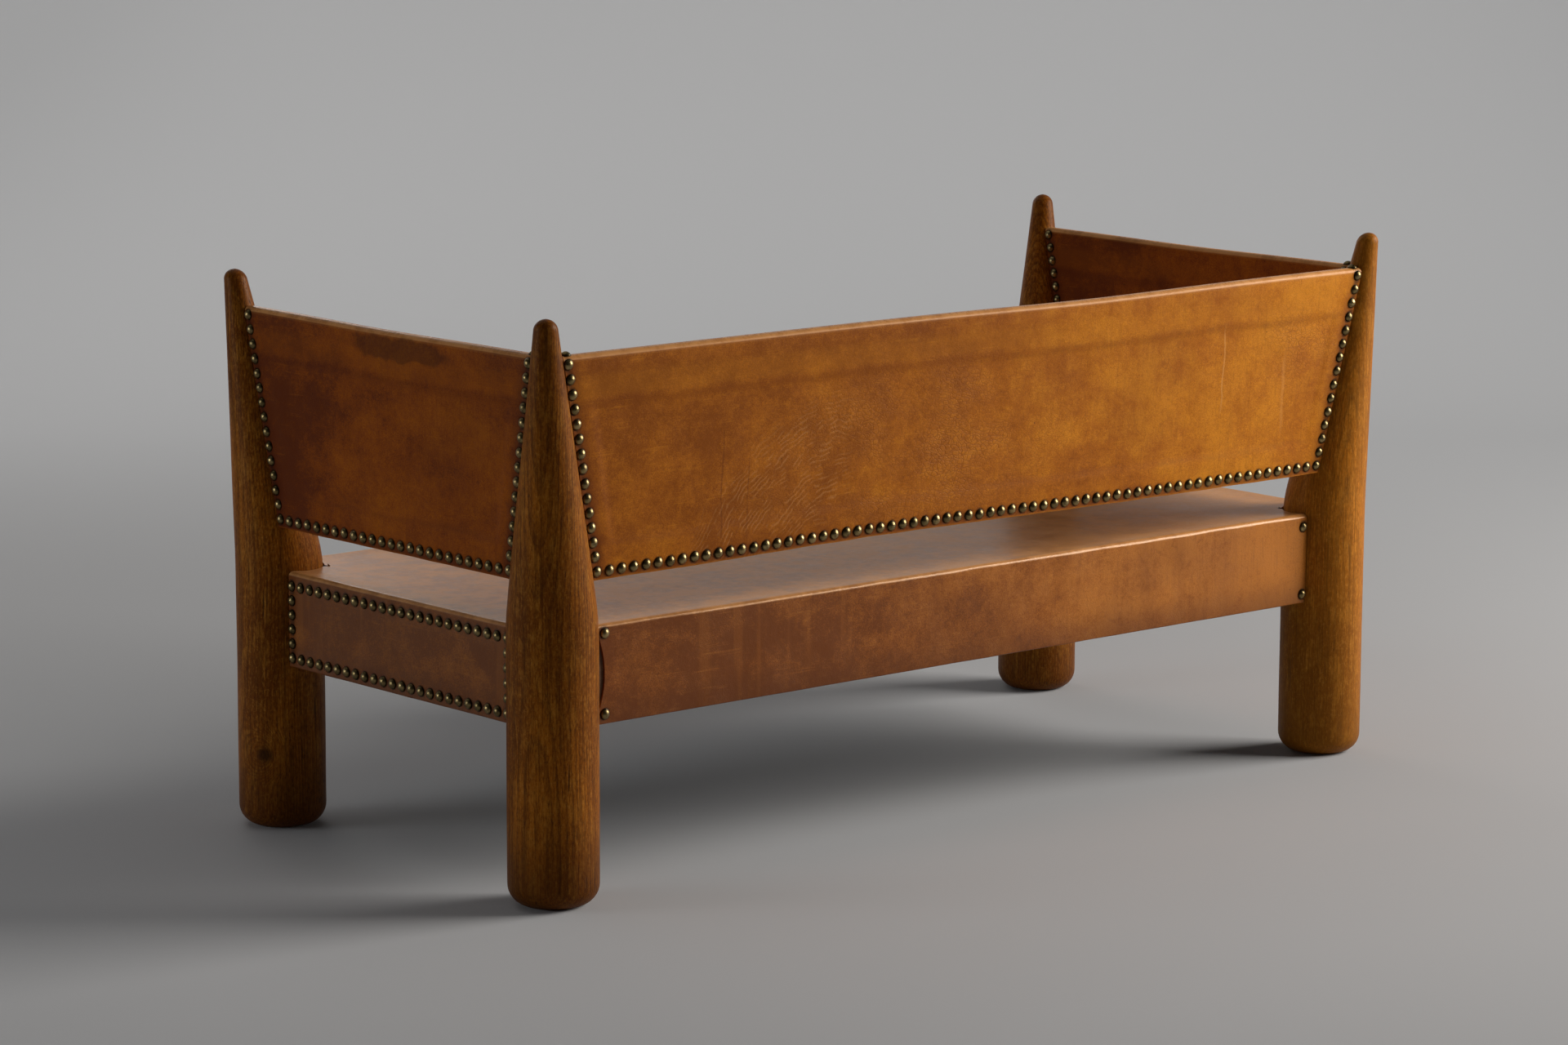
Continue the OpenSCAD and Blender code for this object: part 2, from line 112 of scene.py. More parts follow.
# How far the hide has drawn back beside the near leg and the far one, its raised edge, and their widths
CRESCENT = (0.012, 0.030)
TORN_END = (0.005, 0.014)
SEAT_LIP = (0.0016, 0.020)
HIDE_DIMPLE = 0.0005
HIDE_WAVE = (0.0006, 0.055)
DECK_WAVE = (0.0003, 0.05)
HIDE_GRID = (188, 72)
CLOTH_GRID = (90, 36)
CLOTH_GAP = 0.003
FELT_GAP = 0.008
LAYER_GAP = 0.0002
# Spacing of points along a webbing strip, and the share of its thickness it rises or sinks where strips
# cross
STRIP_STEP = 0.008
STRIP_LIFT = 0.52

# Nails
NAIL_R = 0.007
NAIL_H = 0.0046
SHANK_R = 0.0011
SHANK_L = 0.0085
NAIL_RIM = 18
NAIL_SWELL = (1.04, 1.09)
NAIL_TILT = 1.8
NAIL_STRAY = 0.00025
# Distances from a nail's middle between which the leather dips to it
DIMPLE = (0.0055, 0.0115)
# How far the corner nails beside the near leg are moved along, and the upper one up
CORNER_MOVE = (0.005, 0.0065)

# Looks
WARM_GLOSS = (1.0, 0.60, 0.28, 1)
ARC_HUB = (0.2235, 0.0, 0.315)
# Each zone's middle x and z, half width, half height and strength
GRAIN_ZONES = (
    (0.130, 0.530, 0.38, 0.17, 1.0),
    (-0.605, 0.60, 0.12, 0.08, 0.8),
    (0.355, 0.50, 0.10, 0.08, 0.5),
)
KNOT = (0.7519, -0.2627, 0.104)
# Each dark line's height on the panel, width and strength: a rail's print and painted shade at the skin's
# step
RAIL_PRINTS_AND_SHADE = ((0.226, 0.0095, 0.46), (0.047, 0.0070, 0.34))

leg_low, leg_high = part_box("leg_back_right")
seat_low, seat_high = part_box("seat_leather")
half_x = (leg_low.x + leg_high.x) / 2
half_y = (leg_low.y + leg_high.y) / 2
leg_r = (leg_high.x - leg_low.x) / 2
leg_h = leg_high.z
tip_z = leg_h - TIP_R
face_x, face_y, seat_top, seat_bottom = seat_high.x, seat_high.y, seat_high.z, seat_low.z


def smooth(low, high, x):
    """0 at low, 1 at high, and an even curve between them."""
    t = np.clip((np.asarray(x, float) - low) / (high - low), 0, 1)
    return t * t * (3 - 2 * t)


def wave(x, y, size, seed):
    """Smooth noise from -1 to 1 over points x, y, with bumps of about that size."""
    x, y = np.broadcast_arrays(x, y)
    return np.array([
        noise.noise(Vector((a / size, b / size, seed))) for a, b in zip(x.ravel(), y.ravel())
    ]).reshape(x.shape)


# Materials


class Finish:
    """A material and the nodes that drive it. Coordinates are metres in the model's frame."""

    def __init__(self, name, **settings):
        self.material = bpy.data.materials.new(name)
        self.material.use_nodes = True
        self.tree = self.material.node_tree
        self.shader = self.tree.nodes["Principled BSDF"]
        for key, value in settings.items():
            self.shader.inputs[key.replace("_", " ")].default_value = value
        self.spot = self.node("TexCoord", {}).outputs["Object"]

    def node(self, kind, links, **settings):
        made = self.tree.nodes.new("ShaderNode" + kind)
        for key, value in settings.items():
            setattr(made, key, value)
        for key, value in links.items():
            if isinstance(value, bpy.types.NodeSocket):
                self.tree.links.new(value, made.inputs[key])
            elif value is not None:
                made.inputs[key].default_value = value
        return made

    def scaled(self, scale, shift=(0, 0, 0), spot=None):
        links = {"Vector": spot or self.spot, "Location": shift, "Scale": scale}
        return self.node("Mapping", links).outputs[0]

    def noise(self, spot, scale, detail, rough=0.5, twist=0.0):
        links = {"Vector": spot, "Scale": scale, "Detail": detail, "Roughness": rough, "Distortion": twist}
        return self.node("TexNoise", links).outputs[0]

    def speckle(self, size, detail, rough=0.5, shift=(0, 0, 0), twist=0.0):
        """Noise with that many bumps in a metre along each axis."""
        return self.noise(self.scaled(size, shift), 1.0, detail, rough, twist)

    def cells(self, spot, feature="F1"):
        return self.node("TexVoronoi", {"Vector": spot, "Scale": 1.0}, feature=feature).outputs["Distance"]

    def kept(self, name):
        return self.node("Attribute", {}, attribute_name=name).outputs["Fac"]

    def sum(self, kind, a, b=None, c=None):
        return self.node("Math", {0: a, 1: b, 2: c}, operation=kind).outputs[0]

    def times(self, a, b):
        return self.sum("MULTIPLY", a, b)

    def plus(self, a, share, b):
        """A share of a, added to b."""
        return self.sum("MULTIPLY_ADD", a, share, b)

    def apart(self, a, b):
        """How far apart two values are."""
        return self.sum("ABSOLUTE", self.sum("SUBTRACT", a, b))

    def ripple(self, value, rate):
        """From 0 to 1 and back for each pi in the value times the rate."""
        return self.sum("ABSOLUTE", self.sum("SINE", self.times(value, rate)))

    def sway(self, value, amount, base):
        """The base, moved by an amount of how far a noise strays from its middle."""
        return self.plus(self.sum("SUBTRACT", value, 0.5), amount, base)

    def vector(self, kind, a, b=None):
        return self.node("VectorMath", {0: a, 1: b}, operation=kind).outputs["Value"]

    def axis(self, number):
        """The x, y or z of the place that is shaded."""
        return self.node("SeparateXYZ", {0: self.spot}).outputs[number]

    def band(self, value, low, high, to_low=0.0, to_high=1.0):
        """Takes a value from the range low to high evenly to another range, and no further."""
        links = {"Value": value, "From Min": low, "From Max": high, "To Min": to_low, "To Max": to_high}
        return self.node("MapRange", links, interpolation_type="SMOOTHSTEP").outputs[0]

    def fall(self, value, low, high, share=1.0):
        """A share up to low, and nothing from high on."""
        return self.band(value, low, high, share, 0.0)

    def mixed(self, share, a, b):
        made = self.node("Mix", {}, data_type="RGBA")
        for socket, value in ((made.inputs[0], share), (made.inputs[6], a), (made.inputs[7], b)):
            if isinstance(value, bpy.types.NodeSocket):
                self.tree.links.new(value, socket)
            else:
                socket.default_value = value
        return made.outputs[2]

    def lay(self, mask, shade, share=None):
        """Takes the colour towards a shade by the mask, or by a share of it."""
        mask = mask if share is None else self.times(mask, share)
        self.color = self.mixed(mask, self.color, shade)

    def ramp(self, value, *stops):
        made = self.node("ValToRGB", {0: value})
        for number, (place, color) in enumerate(stops):
            points = made.color_ramp.elements
            point = points[number] if number < 2 else points.new(place)
            point.position, point.color = place, color
        return made.outputs[0]

    def bump(self, height, distance, strength):
        links = {"Height": height, "Distance": distance, "Strength": strength}
        return self.node("Bump", links).outputs[0]

    def set(self, **links):
        for key, value in {"Base_Color": self.color, **links}.items():
            self.tree.links.new(value, self.shader.inputs[key.replace("_", " ")])
        return self.material


def rgb(red, green, blue):
    """A linear colour from the sRGB values of a paint chart."""
    return (*[((c / 255 + 0.055) / 1.055) ** 2.4 for c in (red, green, blue)], 1)


def grey(level):
    return (level, level, level, 1)


def oak_finish(name, pith, shade, share, knot):
    """Oiled oak of one leg, sawn from a trunk whose pith lies at those x and y."""
    f = Finish(
        name, Specular_IOR_Level=0.13, Specular_Tint=WARM_GLOSS, Coat_Weight=0.02, Coat_Roughness=0.25)
    here = f.scaled((1, 1, 1), shift=(-pith[0], -pith[1], 0))
    bend = f.speckle((4.0, 4.0, 1.6), 2.5)
    split = f.node("SeparateXYZ", {0: here})
    across = f.sum("ADD", f.sum("POWER", split.outputs[0], 2.0), f.sum("POWER", split.outputs[1], 2.0))
    ring = f.plus(bend, 0.026, f.sum("SQRT", across))
    if knot:
        far = f.vector("DISTANCE", f.spot, knot)
        ring = f.sum("ADD", ring, f.fall(far, 0.0, 0.045, 0.026))
    uneven = f.noise(f.node("CombineXYZ", {0: ring}).outputs[0], 55.0, 2.0)
    phase = f.sum("FRACT", f.plus(uneven, 3.0, f.times(ring, 310.0)))
    early = f.ramp(
        phase, (0.0, grey(1)), (0.30, grey(0.35)), (0.62, grey(0)), (0.90, grey(0)), (1.0, grey(1)))
    fibre = f.speckle((330, 330, 11), 4.0, 0.7)
    dash = f.band(f.speckle((820, 820, 130), 2.0, 0.55), 0.54, 0.68)
    hair = f.band(f.speckle((1500, 1500, 60), 1.0), 0.50, 0.70)
    pores = f.times(f.plus(hair, 0.35, dash), f.plus(early, 0.60, 0.40))
    cloud = f.speckle((11, 11, 3.4), 3.0, 0.6)
    fleck = f.band(f.speckle((210, 210, 330), 2.0, 0.6), 0.56, 0.68)
    curl = f.speckle((70, 70, 26), 3.0, 0.6, shift=(0, 3, 1), twist=0.6)
    f.color = f.mixed(f.band(cloud, 0.30, 0.72), rgb(132, 70, 12), rgb(192, 112, 24))
    f.lay(f.band(curl, 0.50, 0.64, 0.0, 0.38), rgb(218, 144, 50))
    f.lay(fleck, rgb(226, 158, 68), 0.27)
    silk = f.speckle((430, 430, 150), 3.0, 0.62, shift=(2, 5, 0))
    f.lay(f.band(silk, 0.50, 0.64, 0.0, 0.46), rgb(84, 40, 7))
    f.lay(f.fall(silk, 0.34, 0.48, 0.30), rgb(226, 156, 66))
    f.lay(early, rgb(88, 42, 7), 0.44)
    f.lay(f.band(fibre, 0.44, 0.68, 0.0, 0.62), rgb(80, 38, 7))
    f.lay(pores, rgb(44, 20, 4), 0.60)
    crack = f.band(f.speckle((330, 330, 15), 0.0, shift=(1, 1, 1)), 0.74, 0.78)
    crack = f.times(crack, f.band(f.speckle((9, 9, 6), 1.0), 0.54, 0.62))
    f.lay(crack, rgb(30, 14, 4), 0.70)
    if knot:
        core = f.sway(cloud, 0.022, f.sway(fibre, 0.016, far))
        f.lay(f.fall(core, 0.004, 0.015, 0.80), rgb(28, 12, 4))
    height = f.axis(2)
    foot = f.times(f.fall(height, 0.0, 0.150), f.band(cloud, 0.30, 0.70, 0.55, 0.95))
    f.lay(foot, rgb(50, 22, 6), 0.80)
    tip = f.band(height, 0.655, 0.748)
    f.lay(tip, rgb(86, 42, 10), 0.25)
    # Painted light and shade: the whole leg taken towards the tone given for how brightly it is lit.
    f.lay(share, shade)
    relief = f.plus(pores, -0.9, f.times(fibre, 0.45))
    relief = f.plus(crack, -2.2, relief)
    gloss = f.plus(fibre, 0.22, 0.40)
    gloss = f.plus(tip, -0.12, gloss)
    return f.set(Roughness=gloss, Normal=f.bump(relief, 0.00022, 0.8))


def leather_colour(f, pale, mid, deep, edge, painted_falloff):
    """A hide's dyed colour with a painted light falloff; returns its relief and the noises behind them."""
    cloud = f.speckle((6, 6, 8), 5.0, 0.62)
    blotch = f.speckle((24, 24, 30), 5.0, 0.66, shift=(1, 2, 3))
    mottle = f.speckle((120, 120, 150), 4.0, 0.68)
    grain = f.speckle((620, 620, 700), 3.0, 0.65)
    tone = f.sway(cloud, 1.05, 0.5)
    tone = f.sway(blotch, 0.74, tone)
    tone = f.sway(mottle, 0.50, tone)
    tone = f.sway(grain, 1.00, tone)
    # Painted light and shade: end hides darker towards the front, the others paler towards -X near the key
    # lamp and darker towards +X.
    if painted_falloff == "front":
        along = f.axis(1)
        tone = f.sum("ADD", tone, f.fall(along, -0.27, -0.02, -0.34))
    else:
        along = f.axis(0)
        tone = f.sum("ADD", tone, f.band(along, -0.66, 0.50, 0.5 * painted_falloff, -0.5 * painted_falloff))
    f.color = f.ramp(tone, (0.18, deep), (0.82, pale), (0.50, mid))
    hue = f.speckle((3.4, 3.4, 5.5), 3.0, shift=(0.7, 0.3, 0.1))
    f.lay(f.band(hue, 0.46, 0.66, 0.0, 0.22), edge)
    fibre = f.speckle((210, 210, 15), 4.0, 0.66)
    f.lay(f.band(fibre, 0.50, 0.72, 0.0, 0.28), deep)
    scratch = f.speckle((11, 11, 380), 2.0, 0.6, shift=(2, 2, 2))
    f.lay(f.band(scratch, 0.58, 0.70), pale, f.band(blotch, 0.42, 0.6, 0.0, 0.30))
    veins = f.apart(f.speckle((21, 21, 15), 3.0, shift=(4, 0, 1)), 0.5)
    veins = f.times(f.fall(veins, 0.0, 0.012), f.band(hue, 0.50, 0.62, 0.0, 0.35))
    f.lay(veins, deep)
    relief = f.plus(mottle, 0.9, f.times(grain, 0.5))
    return relief, cloud, blotch, mottle


def pebble(f, relief, zone, size, deep, pale):
    """Shrunken grain: small raised cells with dark valleys between them, where zone is high."""
    warp = f.node("TexNoise", {"Vector": f.spot, "Scale": 70.0, "Detail": 2.0}).outputs["Color"]
    warp = f.node("VectorMath", {0: warp, "Scale": 0.010}, operation="SCALE").outputs[0]
    spot = f.node("VectorMath", {0: f.spot, 1: warp}, operation="ADD").outputs[0]
    valley = f.fall(f.cells(f.scaled(size, spot=spot), feature="DISTANCE_TO_EDGE"), 0.0, 0.16)
    f.lay(zone, pale, 0.12)
    f.lay(f.times(zone, valley), deep, 0.62)
    return f.plus(f.times(zone, valley), -0.7, relief)


def back_marks(f, relief, deep):
    """What years of backs have left on the back panel: shrunken grain, arcs of scratches, creases."""
    split = f.node("SeparateXYZ", {0: f.spot})
    x, z = split.outputs[0], split.outputs[2]
    patchy = f.band(f.speckle((9, 9, 13), 3.0, shift=(1, 0, 4)), 0.26, 0.66)
    zone = 0.0
    for place_x, place_z, wide, high, share in GRAIN_ZONES:
        off = f.scaled((1 / wide, 0, 1 / high), shift=(-place_x / wide, 0, -place_z / high))
        far = f.vector("LENGTH", off)
        zone = f.sum("MAXIMUM", zone, f.fall(far, 0.25, 1.0, share))
    zone = f.plus(f.times(zone, patchy), 0.85, 0.14)
    relief = pebble(f, relief, zone, (122, 122, 215), deep, rgb(208, 136, 66))
    hub = f.vector("DISTANCE", f.scaled((1, 0, 1)), ARC_HUB)
    waver = f.speckle((26, 26, 26), 3.0)
    turns = f.plus(waver, 4.0, f.times(hub, 150.0))
    arc = f.fall(f.apart(f.sum("FRACT", turns), 0.5), 0.02, 0.30)
    broken = f.band(f.speckle((46, 46, 40), 2.0, shift=(5, 0, 2)), 0.42, 0.58)
    field = f.times(f.band(hub, 0.125, 0.170), f.fall(hub, 0.265, 0.325))
    field = f.times(field, f.band(x, 0.210, 0.270))
    arc = f.times(f.times(arc, broken), field)
    f.lay(arc, rgb(222, 158, 90), 0.30)
    for place, low, high, width, tint in CREASES:
        off = f.sum("SUBTRACT", f.plus(waver, 0.010, x), place + 0.005)
        line = f.fall(f.sum("ABSOLUTE", off), 0.0, width)
        line = f.times(line, f.band(z, low, low + 0.03))
        line = f.times(line, f.fall(z, high - 0.03, high))
        f.lay(line, tint, 0.42)
    return f.plus(arc, -0.6, relief)


def folded_lines(f, cloud, blotch, mottle, pale, edge):
    """A panel's burnished border, its rails' prints with painted shade, and its raw lower edge."""
    up, side = f.kept("up"), f.kept("side")
    border = f.sum("MINIMUM", side, f.times(up, 1.4))
    worn = f.fall(f.sway(cloud, 0.026, border), 0.010, 0.030)
    f.lay(worn, edge, 0.62)
    uneven = f.sway(cloud, 0.022, up)
    # Rails' prints, darkened further as painted shade where the skin steps in at their edges.
    for level, width, share in RAIL_PRINTS_AND_SHADE:
        line = f.fall(f.apart(uneven, level), 0.0, width)
        line = f.times(line, f.times(f.band(mottle, 0.34, 0.60), f.band(blotch, 0.36, 0.60, 0.25, 1.0)))
        f.lay(line, edge, share)
    high = f.times(f.band(uneven, 0.228, 0.238), f.fall(up, 0.256, 0.272))
    f.lay(high, pale, 0.16)
    grooves = f.ripple(up, 1150.0)
    ridge = f.times(f.band(up, 0.2815, 0.2850), f.band(grooves, 0.5, 1.0, 0.15, 0.5))
    f.lay(ridge, rgb(190, 126, 66))
    f.lay(f.fall(up, 0.0, 0.0030, 0.40), pale)


def leather_finish(
    name, pale, mid, deep, edge, painted_falloff, coat, shine, gloss=0.44, panel=True, marked=False, stained=False,
):
    """Saddle leather with patina: clouds, fibres, creases, burnished borders and dark specks."""
    f = Finish(
        name, Specular_IOR_Level=shine, Specular_Tint=WARM_GLOSS, Coat_Weight=coat, Coat_Roughness=0.22)
    relief, cloud, blotch, mottle = leather_colour(f, pale, mid, deep, edge, painted_falloff)
    if marked:
        relief = back_marks(f, relief, deep)
    else:
        zone = f.band(blotch, 0.46, 0.62, 0.05, 0.34)
        relief = pebble(f, relief, zone, (250, 250, 300), deep, pale)
    rare = f.speckle((15, 15, 15), 0.0, shift=(3, 1, 2))
    specks = f.fall(f.cells(f.scaled((26, 26, 26))), 0.014, 0.034)
    f.lay(f.times(specks, f.band(rare, 0.50, 0.56)), rgb(36, 15, 6), 0.85)
    if panel:
        folded_lines(f, cloud, blotch, mottle, pale, edge)
    facing = f.node("TexCoord", {}).outputs["Normal"]
    upward = f.node("SeparateXYZ", {0: facing}).outputs[2]
    # Upward faces and rounded top edges: rubbed lighter and glossier, and lighter again as a painted
    # highlight.
    rubbed_top_and_highlight = f.band(upward, 0.10, 0.45)
    if not panel:
        rubbed_top_and_highlight = f.times(rubbed_top_and_highlight, f.fall(upward, 0.85, 0.98))
    f.lay(rubbed_top_and_highlight, rgb(232, 166, 102), f.band(blotch, 0.35, 0.6, 0.45, 0.80))
    if not panel:
        bars = f.speckle((30, 30, 2.5), 4.0, 0.62, shift=(0, 1, 2))
        f.lay(f.band(bars, 0.50, 0.72, 0.0, 0.24), deep)
        f.lay(f.fall(bars, 0.32, 0.44, 0.14), pale)
        height = f.axis(2)
        # The seat's sides are darker towards their bottom edge.
        low = f.fall(height, seat_bottom, seat_bottom + 0.052, 0.52)
        f.lay(low, edge)
        # The seat's top: worn lighter from sitting, and lighter again as painted light.
        seat = f.times(f.band(upward, 0.80, 0.97), f.band(blotch, 0.36, 0.62, 0.60, 0.95))
        f.lay(seat, rgb(230, 162, 96))
    # Painted shade: a dark ring round each nail head, in its dimple, and round the relief holes beside the
    # legs.
    nail_ring_shade = f.fall(f.kept("nail"), 0.0066, 0.0100)
    f.lay(nail_ring_shade, rgb(40, 16, 6), 0.72)
    if stained:
        spot = f.scaled((0, 1 / 0.105, 1 / 0.018), spot=f.scaled((1, 1, 1), shift=(0, -0.03, -0.680)))
        far = f.vector("LENGTH", spot)
        far = f.sway(f.noise(f.spot, 28.0, 3.0), 1.3, far)
        stain = f.times(f.fall(far, 0.75, 1.05), f.sum("SUBTRACT", 1.0, f.kept("inside")))
        f.lay(stain, rgb(44, 15, 5), 0.48)
    rough = f.sway(mottle, 0.24, gloss)
    rough = f.sway(blotch, 0.30, rough)
    rough = f.plus(rubbed_top_and_highlight, -0.16, rough)
    return f.set(Roughness=rough, Normal=f.bump(relief, 0.00042, 0.65))


def brass_finish():
    """Old brass: the dome rubbed bright, its rim and the hollows gone dark."""
    f = Finish("aged_brass", Metallic=1.0)
    grime = f.noise(f.spot, 190.0, 3.0, 0.6)
    f.color = f.mixed(f.kept("nail_tone"), rgb(134, 116, 76), rgb(168, 146, 100))
    f.lay(f.band(grime, 0.42, 0.70, 0.0, 0.60), rgb(62, 52, 34))
    f.lay(f.fall(f.kept("dome"), 0.10, 0.66, 0.86), rgb(30, 24, 15))
    rough = f.plus(grime, 0.26, 0.19)
    pits = f.noise(f.spot, 1500.0, 2.0, 0.6)
    return f.set(Roughness=rough, Normal=f.bump(pits, 0.00008, 0.5))


def woven_finish(name, light, dark, pitch, stripe=None):
    """Plain cloth, woven from threads that far apart, with stripes along its edges if wanted."""
    f = Finish(name, Roughness=0.92)
    per_metre = math.pi / pitch
    split = f.node("SeparateXYZ", {0: f.spot})
    warp = f.ripple(split.outputs[0], per_metre)
    weft = f.ripple(split.outputs[1], per_metre)
    thread = f.times(f.sum("POWER", warp, 0.6), f.sum("POWER", weft, 0.6))
    slub = f.speckle((60, 500, 60), 3.0, 0.6)
    f.color = f.mixed(f.times(thread, f.band(slub, 0.25, 0.75, 0.6, 1.0)), dark, light)
    if stripe:
        across = f.kept("across")
        f.lay(f.fall(f.apart(across, 0.72), 0.02, 0.05, 0.8), stripe)
    return f.set(Normal=f.bump(f.plus(slub, 0.4, thread), 0.0003, 0.8))


def felt_finish():
    f = Finish("felt", Roughness=0.95, Sheen_Weight=0.25)
    hair = f.speckle((260, 700, 400), 4.0, 0.7, twist=1.5)
    fleck = f.noise(f.spot, 130.0, 2.0)
    f.color = f.mixed(f.band(hair, 0.3, 0.7), rgb(150, 138, 116), rgb(206, 196, 174))
    f.lay(f.band(fleck, 0.62, 0.72, 0.0, 0.5), rgb(96, 84, 66))
    return f.set(Normal=f.bump(hair, 0.0006, 0.8))


def frame_finish():
    # Frame wood stained dark, and dark enough to stand as painted shade in the gaps beside the legs where
    # it shows.
    f = Finish("frame_wood", Roughness=0.62)
    fibre = f.speckle((36, 36, 420), 3.0, 0.6)
    bands = f.speckle((5, 5, 70), 2.0)
    f.color = f.mixed(f.band(bands, 0.35, 0.65), rgb(84, 56, 32), rgb(106, 74, 44))
    f.lay(f.band(fibre, 0.45, 0.8, 0.0, 0.5), rgb(56, 35, 19))
    return f.set(Normal=f.bump(fibre, 0.0003, 0.6))


CREASES = (
    (0.4535, 0.43, 0.60, 0.0022, rgb(96, 42, 12)),
    (0.4105, 0.42, 0.56, 0.0016, rgb(96, 42, 12)),
    (-0.4515, 0.51, 0.65, 0.0024, rgb(236, 176, 100)),
    (-0.5745, 0.47, 0.60, 0.0050, rgb(220, 150, 74)),
)

frame_wood = frame_finish()
panel_hide = leather_finish(
    "panel_leather", rgb(220, 138, 24), rgb(188, 106, 13), rgb(144, 74, 8), rgb(118, 52, 12),
    marked=True, painted_falloff=0.34, coat=0.05, shine=0.22)
end_hide = leather_finish(
    "end_leather", rgb(190, 102, 8), rgb(158, 76, 5), rgb(106, 42, 3), rgb(84, 28, 6),
    stained=True, painted_falloff="front", coat=0.02, shine=0.12)
seat_hide = leather_finish(
    "seat_leather_finish", rgb(198, 120, 40), rgb(165, 92, 23), rgb(118, 58, 12), rgb(96, 46, 14),
    panel=False, painted_falloff=0.66, gloss=0.38, coat=0.23, shine=0.40)
brass = brass_finish()
jute = woven_finish("jute_webbing", rgb(176, 146, 98), rgb(96, 74, 44), 0.0022, stripe=rgb(120, 48, 34))
hessian_cloth = woven_finish("hessian", rgb(170, 142, 98), rgb(82, 62, 38), 0.0016)
felt = felt_finish()
dust_cloth = woven_finish("dust_cloth", rgb(52, 46, 40), rgb(22, 19, 17), 0.0011)


# Meshes


def placed(name, data):
    """A new object in the scene."""
    obj = bpy.data.objects.new(name, data)
    bpy.context.scene.collection.objects.link(obj)
    return obj


def riding(name, mesh):
    """An object of that mesh that rides with the settee."""
    obj = placed(name, mesh)
    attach(obj, "root")
    return obj


def smooth_mesh(name, points, faces, material):
    mesh = bpy.data.meshes.new(name)
    mesh.from_pydata([tuple(p) for p in np.asarray(points, float)], [], faces)
    mesh.materials.append(material)
    mesh.polygons.foreach_set("use_smooth", [True] * len(mesh.polygons))
    mesh.update()
    return mesh


def new_piece(name, points, faces, material):
    return riding(name, smooth_mesh(name, points, faces, material))


def grid_faces(rows, columns, start=0, closed=False):
    """Quads of a grid of points that are numbered row by row."""
    across = columns if closed else columns - 1
    return [
        (
            start + i * columns + j,
            start + i * columns + (j + 1) % columns,
            start + (i + 1) * columns + (j + 1) % columns,
            start + (i + 1) * columns + j,
        )
        for i in range(rows - 1)
        for j in range(across)
    ]


def turned(faces):
    return [face[::-1] for face in faces]


def capped_faces(rows, columns, start, first, last):
    """Quads of closed rings, numbered from start, and a fan to a point at either end of them."""
    faces = grid_faces(rows, columns, start, closed=True)
    end = start + (rows - 1) * columns
    for j in range(columns):
        k = (j + 1) % columns
        faces.append((first, start + k, start + j))
        faces.append((end + j, end + k, last))
    return faces


def keep_values(obj, name, values):
    """Keeps one number for each point of the mesh, for its material."""
    attribute = obj.data.attributes.new(name, "FLOAT", "POINT")
    attribute.data.foreach_set("value", np.asarray(values, np.float32).ravel())


def thicken(obj, thickness, edge=0.0005):
    """Gives a sheet its thickness on the side away from its normals, and eases its cut edges."""
    solid = obj.modifiers.new("thickness", "SOLIDIFY")
    solid.thickness = thickness
    solid.offset = -1
    ease = obj.modifiers.new("eased edge", "BEVEL")
    ease.width = edge
    ease.segments = 2
    ease.limit_method = "ANGLE"
    ease.angle_limit = math.radians(55)
    weigh = obj.modifiers.new("even shading", "WEIGHTED_NORMAL")
    weigh.keep_sharp = True


# Legs


def soft_taper(z):
    """0 below the knee and 1 at the tip, eased in round the knee."""
    t = (z - KNEE_Z) / (tip_z - KNEE_Z)
    return (t + math.sqrt(t * t + KNEE_SOFTNESS**2)) / 2


def leg_levels():
    foot = [FOOT_ROUND * (1 - math.cos(math.radians(a))) for a in range(0, 91, 10)]
    shaft = list(np.linspace(FOOT_ROUND, tip_z, SHAFT_ROWS)[1:])
    tip = [tip_z + TIP_R * math.sin(math.radians(a)) for a in range(12, 90, 12)]
    return foot + shaft + tip


def leg_radius(z):
    if z < FOOT_ROUND:
        return leg_r - FOOT_ROUND + math.sqrt(max(0, FOOT_ROUND**2 - (FOOT_ROUND - z) ** 2))
    if z > tip_z:
        return math.sqrt(max(0, TIP_R**2 - (z - tip_z) ** 2))
    return leg_r + (TIP_R - leg_r) * min(1, soft_taper(z))


def build_leg(name, sx, sy, seed, finish):
    points = []
    lean = math.atan2(math.sqrt(2) * TIP_LEAN, tip_z - KNEE_Z)
    for z in leg_levels():
        shift = TIP_LEAN * soft_taper(min(z, leg_h))
        stretch = 1 + (1 / math.cos(lean) - 1) * min(1, soft_taper(z) * 4)
        calm = min(1, z / FOOT_ROUND, (leg_h - z) / TIP_R)
        for j in range(LEG_SEGMENTS):
            a = 2 * math.pi * j / LEG_SEGMENTS
            uneven = noise.noise(Vector((math.cos(a) * 0.8, math.sin(a) * 0.8, z * 9 + seed)))
            r = leg_radius(z) + calm * LEG_WOBBLE * uneven
            along = r * math.cos(a - math.pi / 4) * stretch
            across = r * math.sin(a - math.pi / 4)
            x = (along - across) / math.sqrt(2) + shift
            y = (along + across) / math.sqrt(2) + shift
            points.append((sx * (half_x + x), sy * (half_y + y), z))
    faces = capped_faces(len(leg_levels()), LEG_SEGMENTS, 0, len(points), len(points) + 1)
    points.append((sx * half_x, sy * half_y, 0))
    points.append((sx * (half_x + TIP_LEAN), sy * (half_y + TIP_LEAN), leg_h))
    if sx * sy < 0:
        faces = turned(faces)
    leg = new_piece(name + "_turned", points, faces, finish)
    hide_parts(name)
    return points, faces


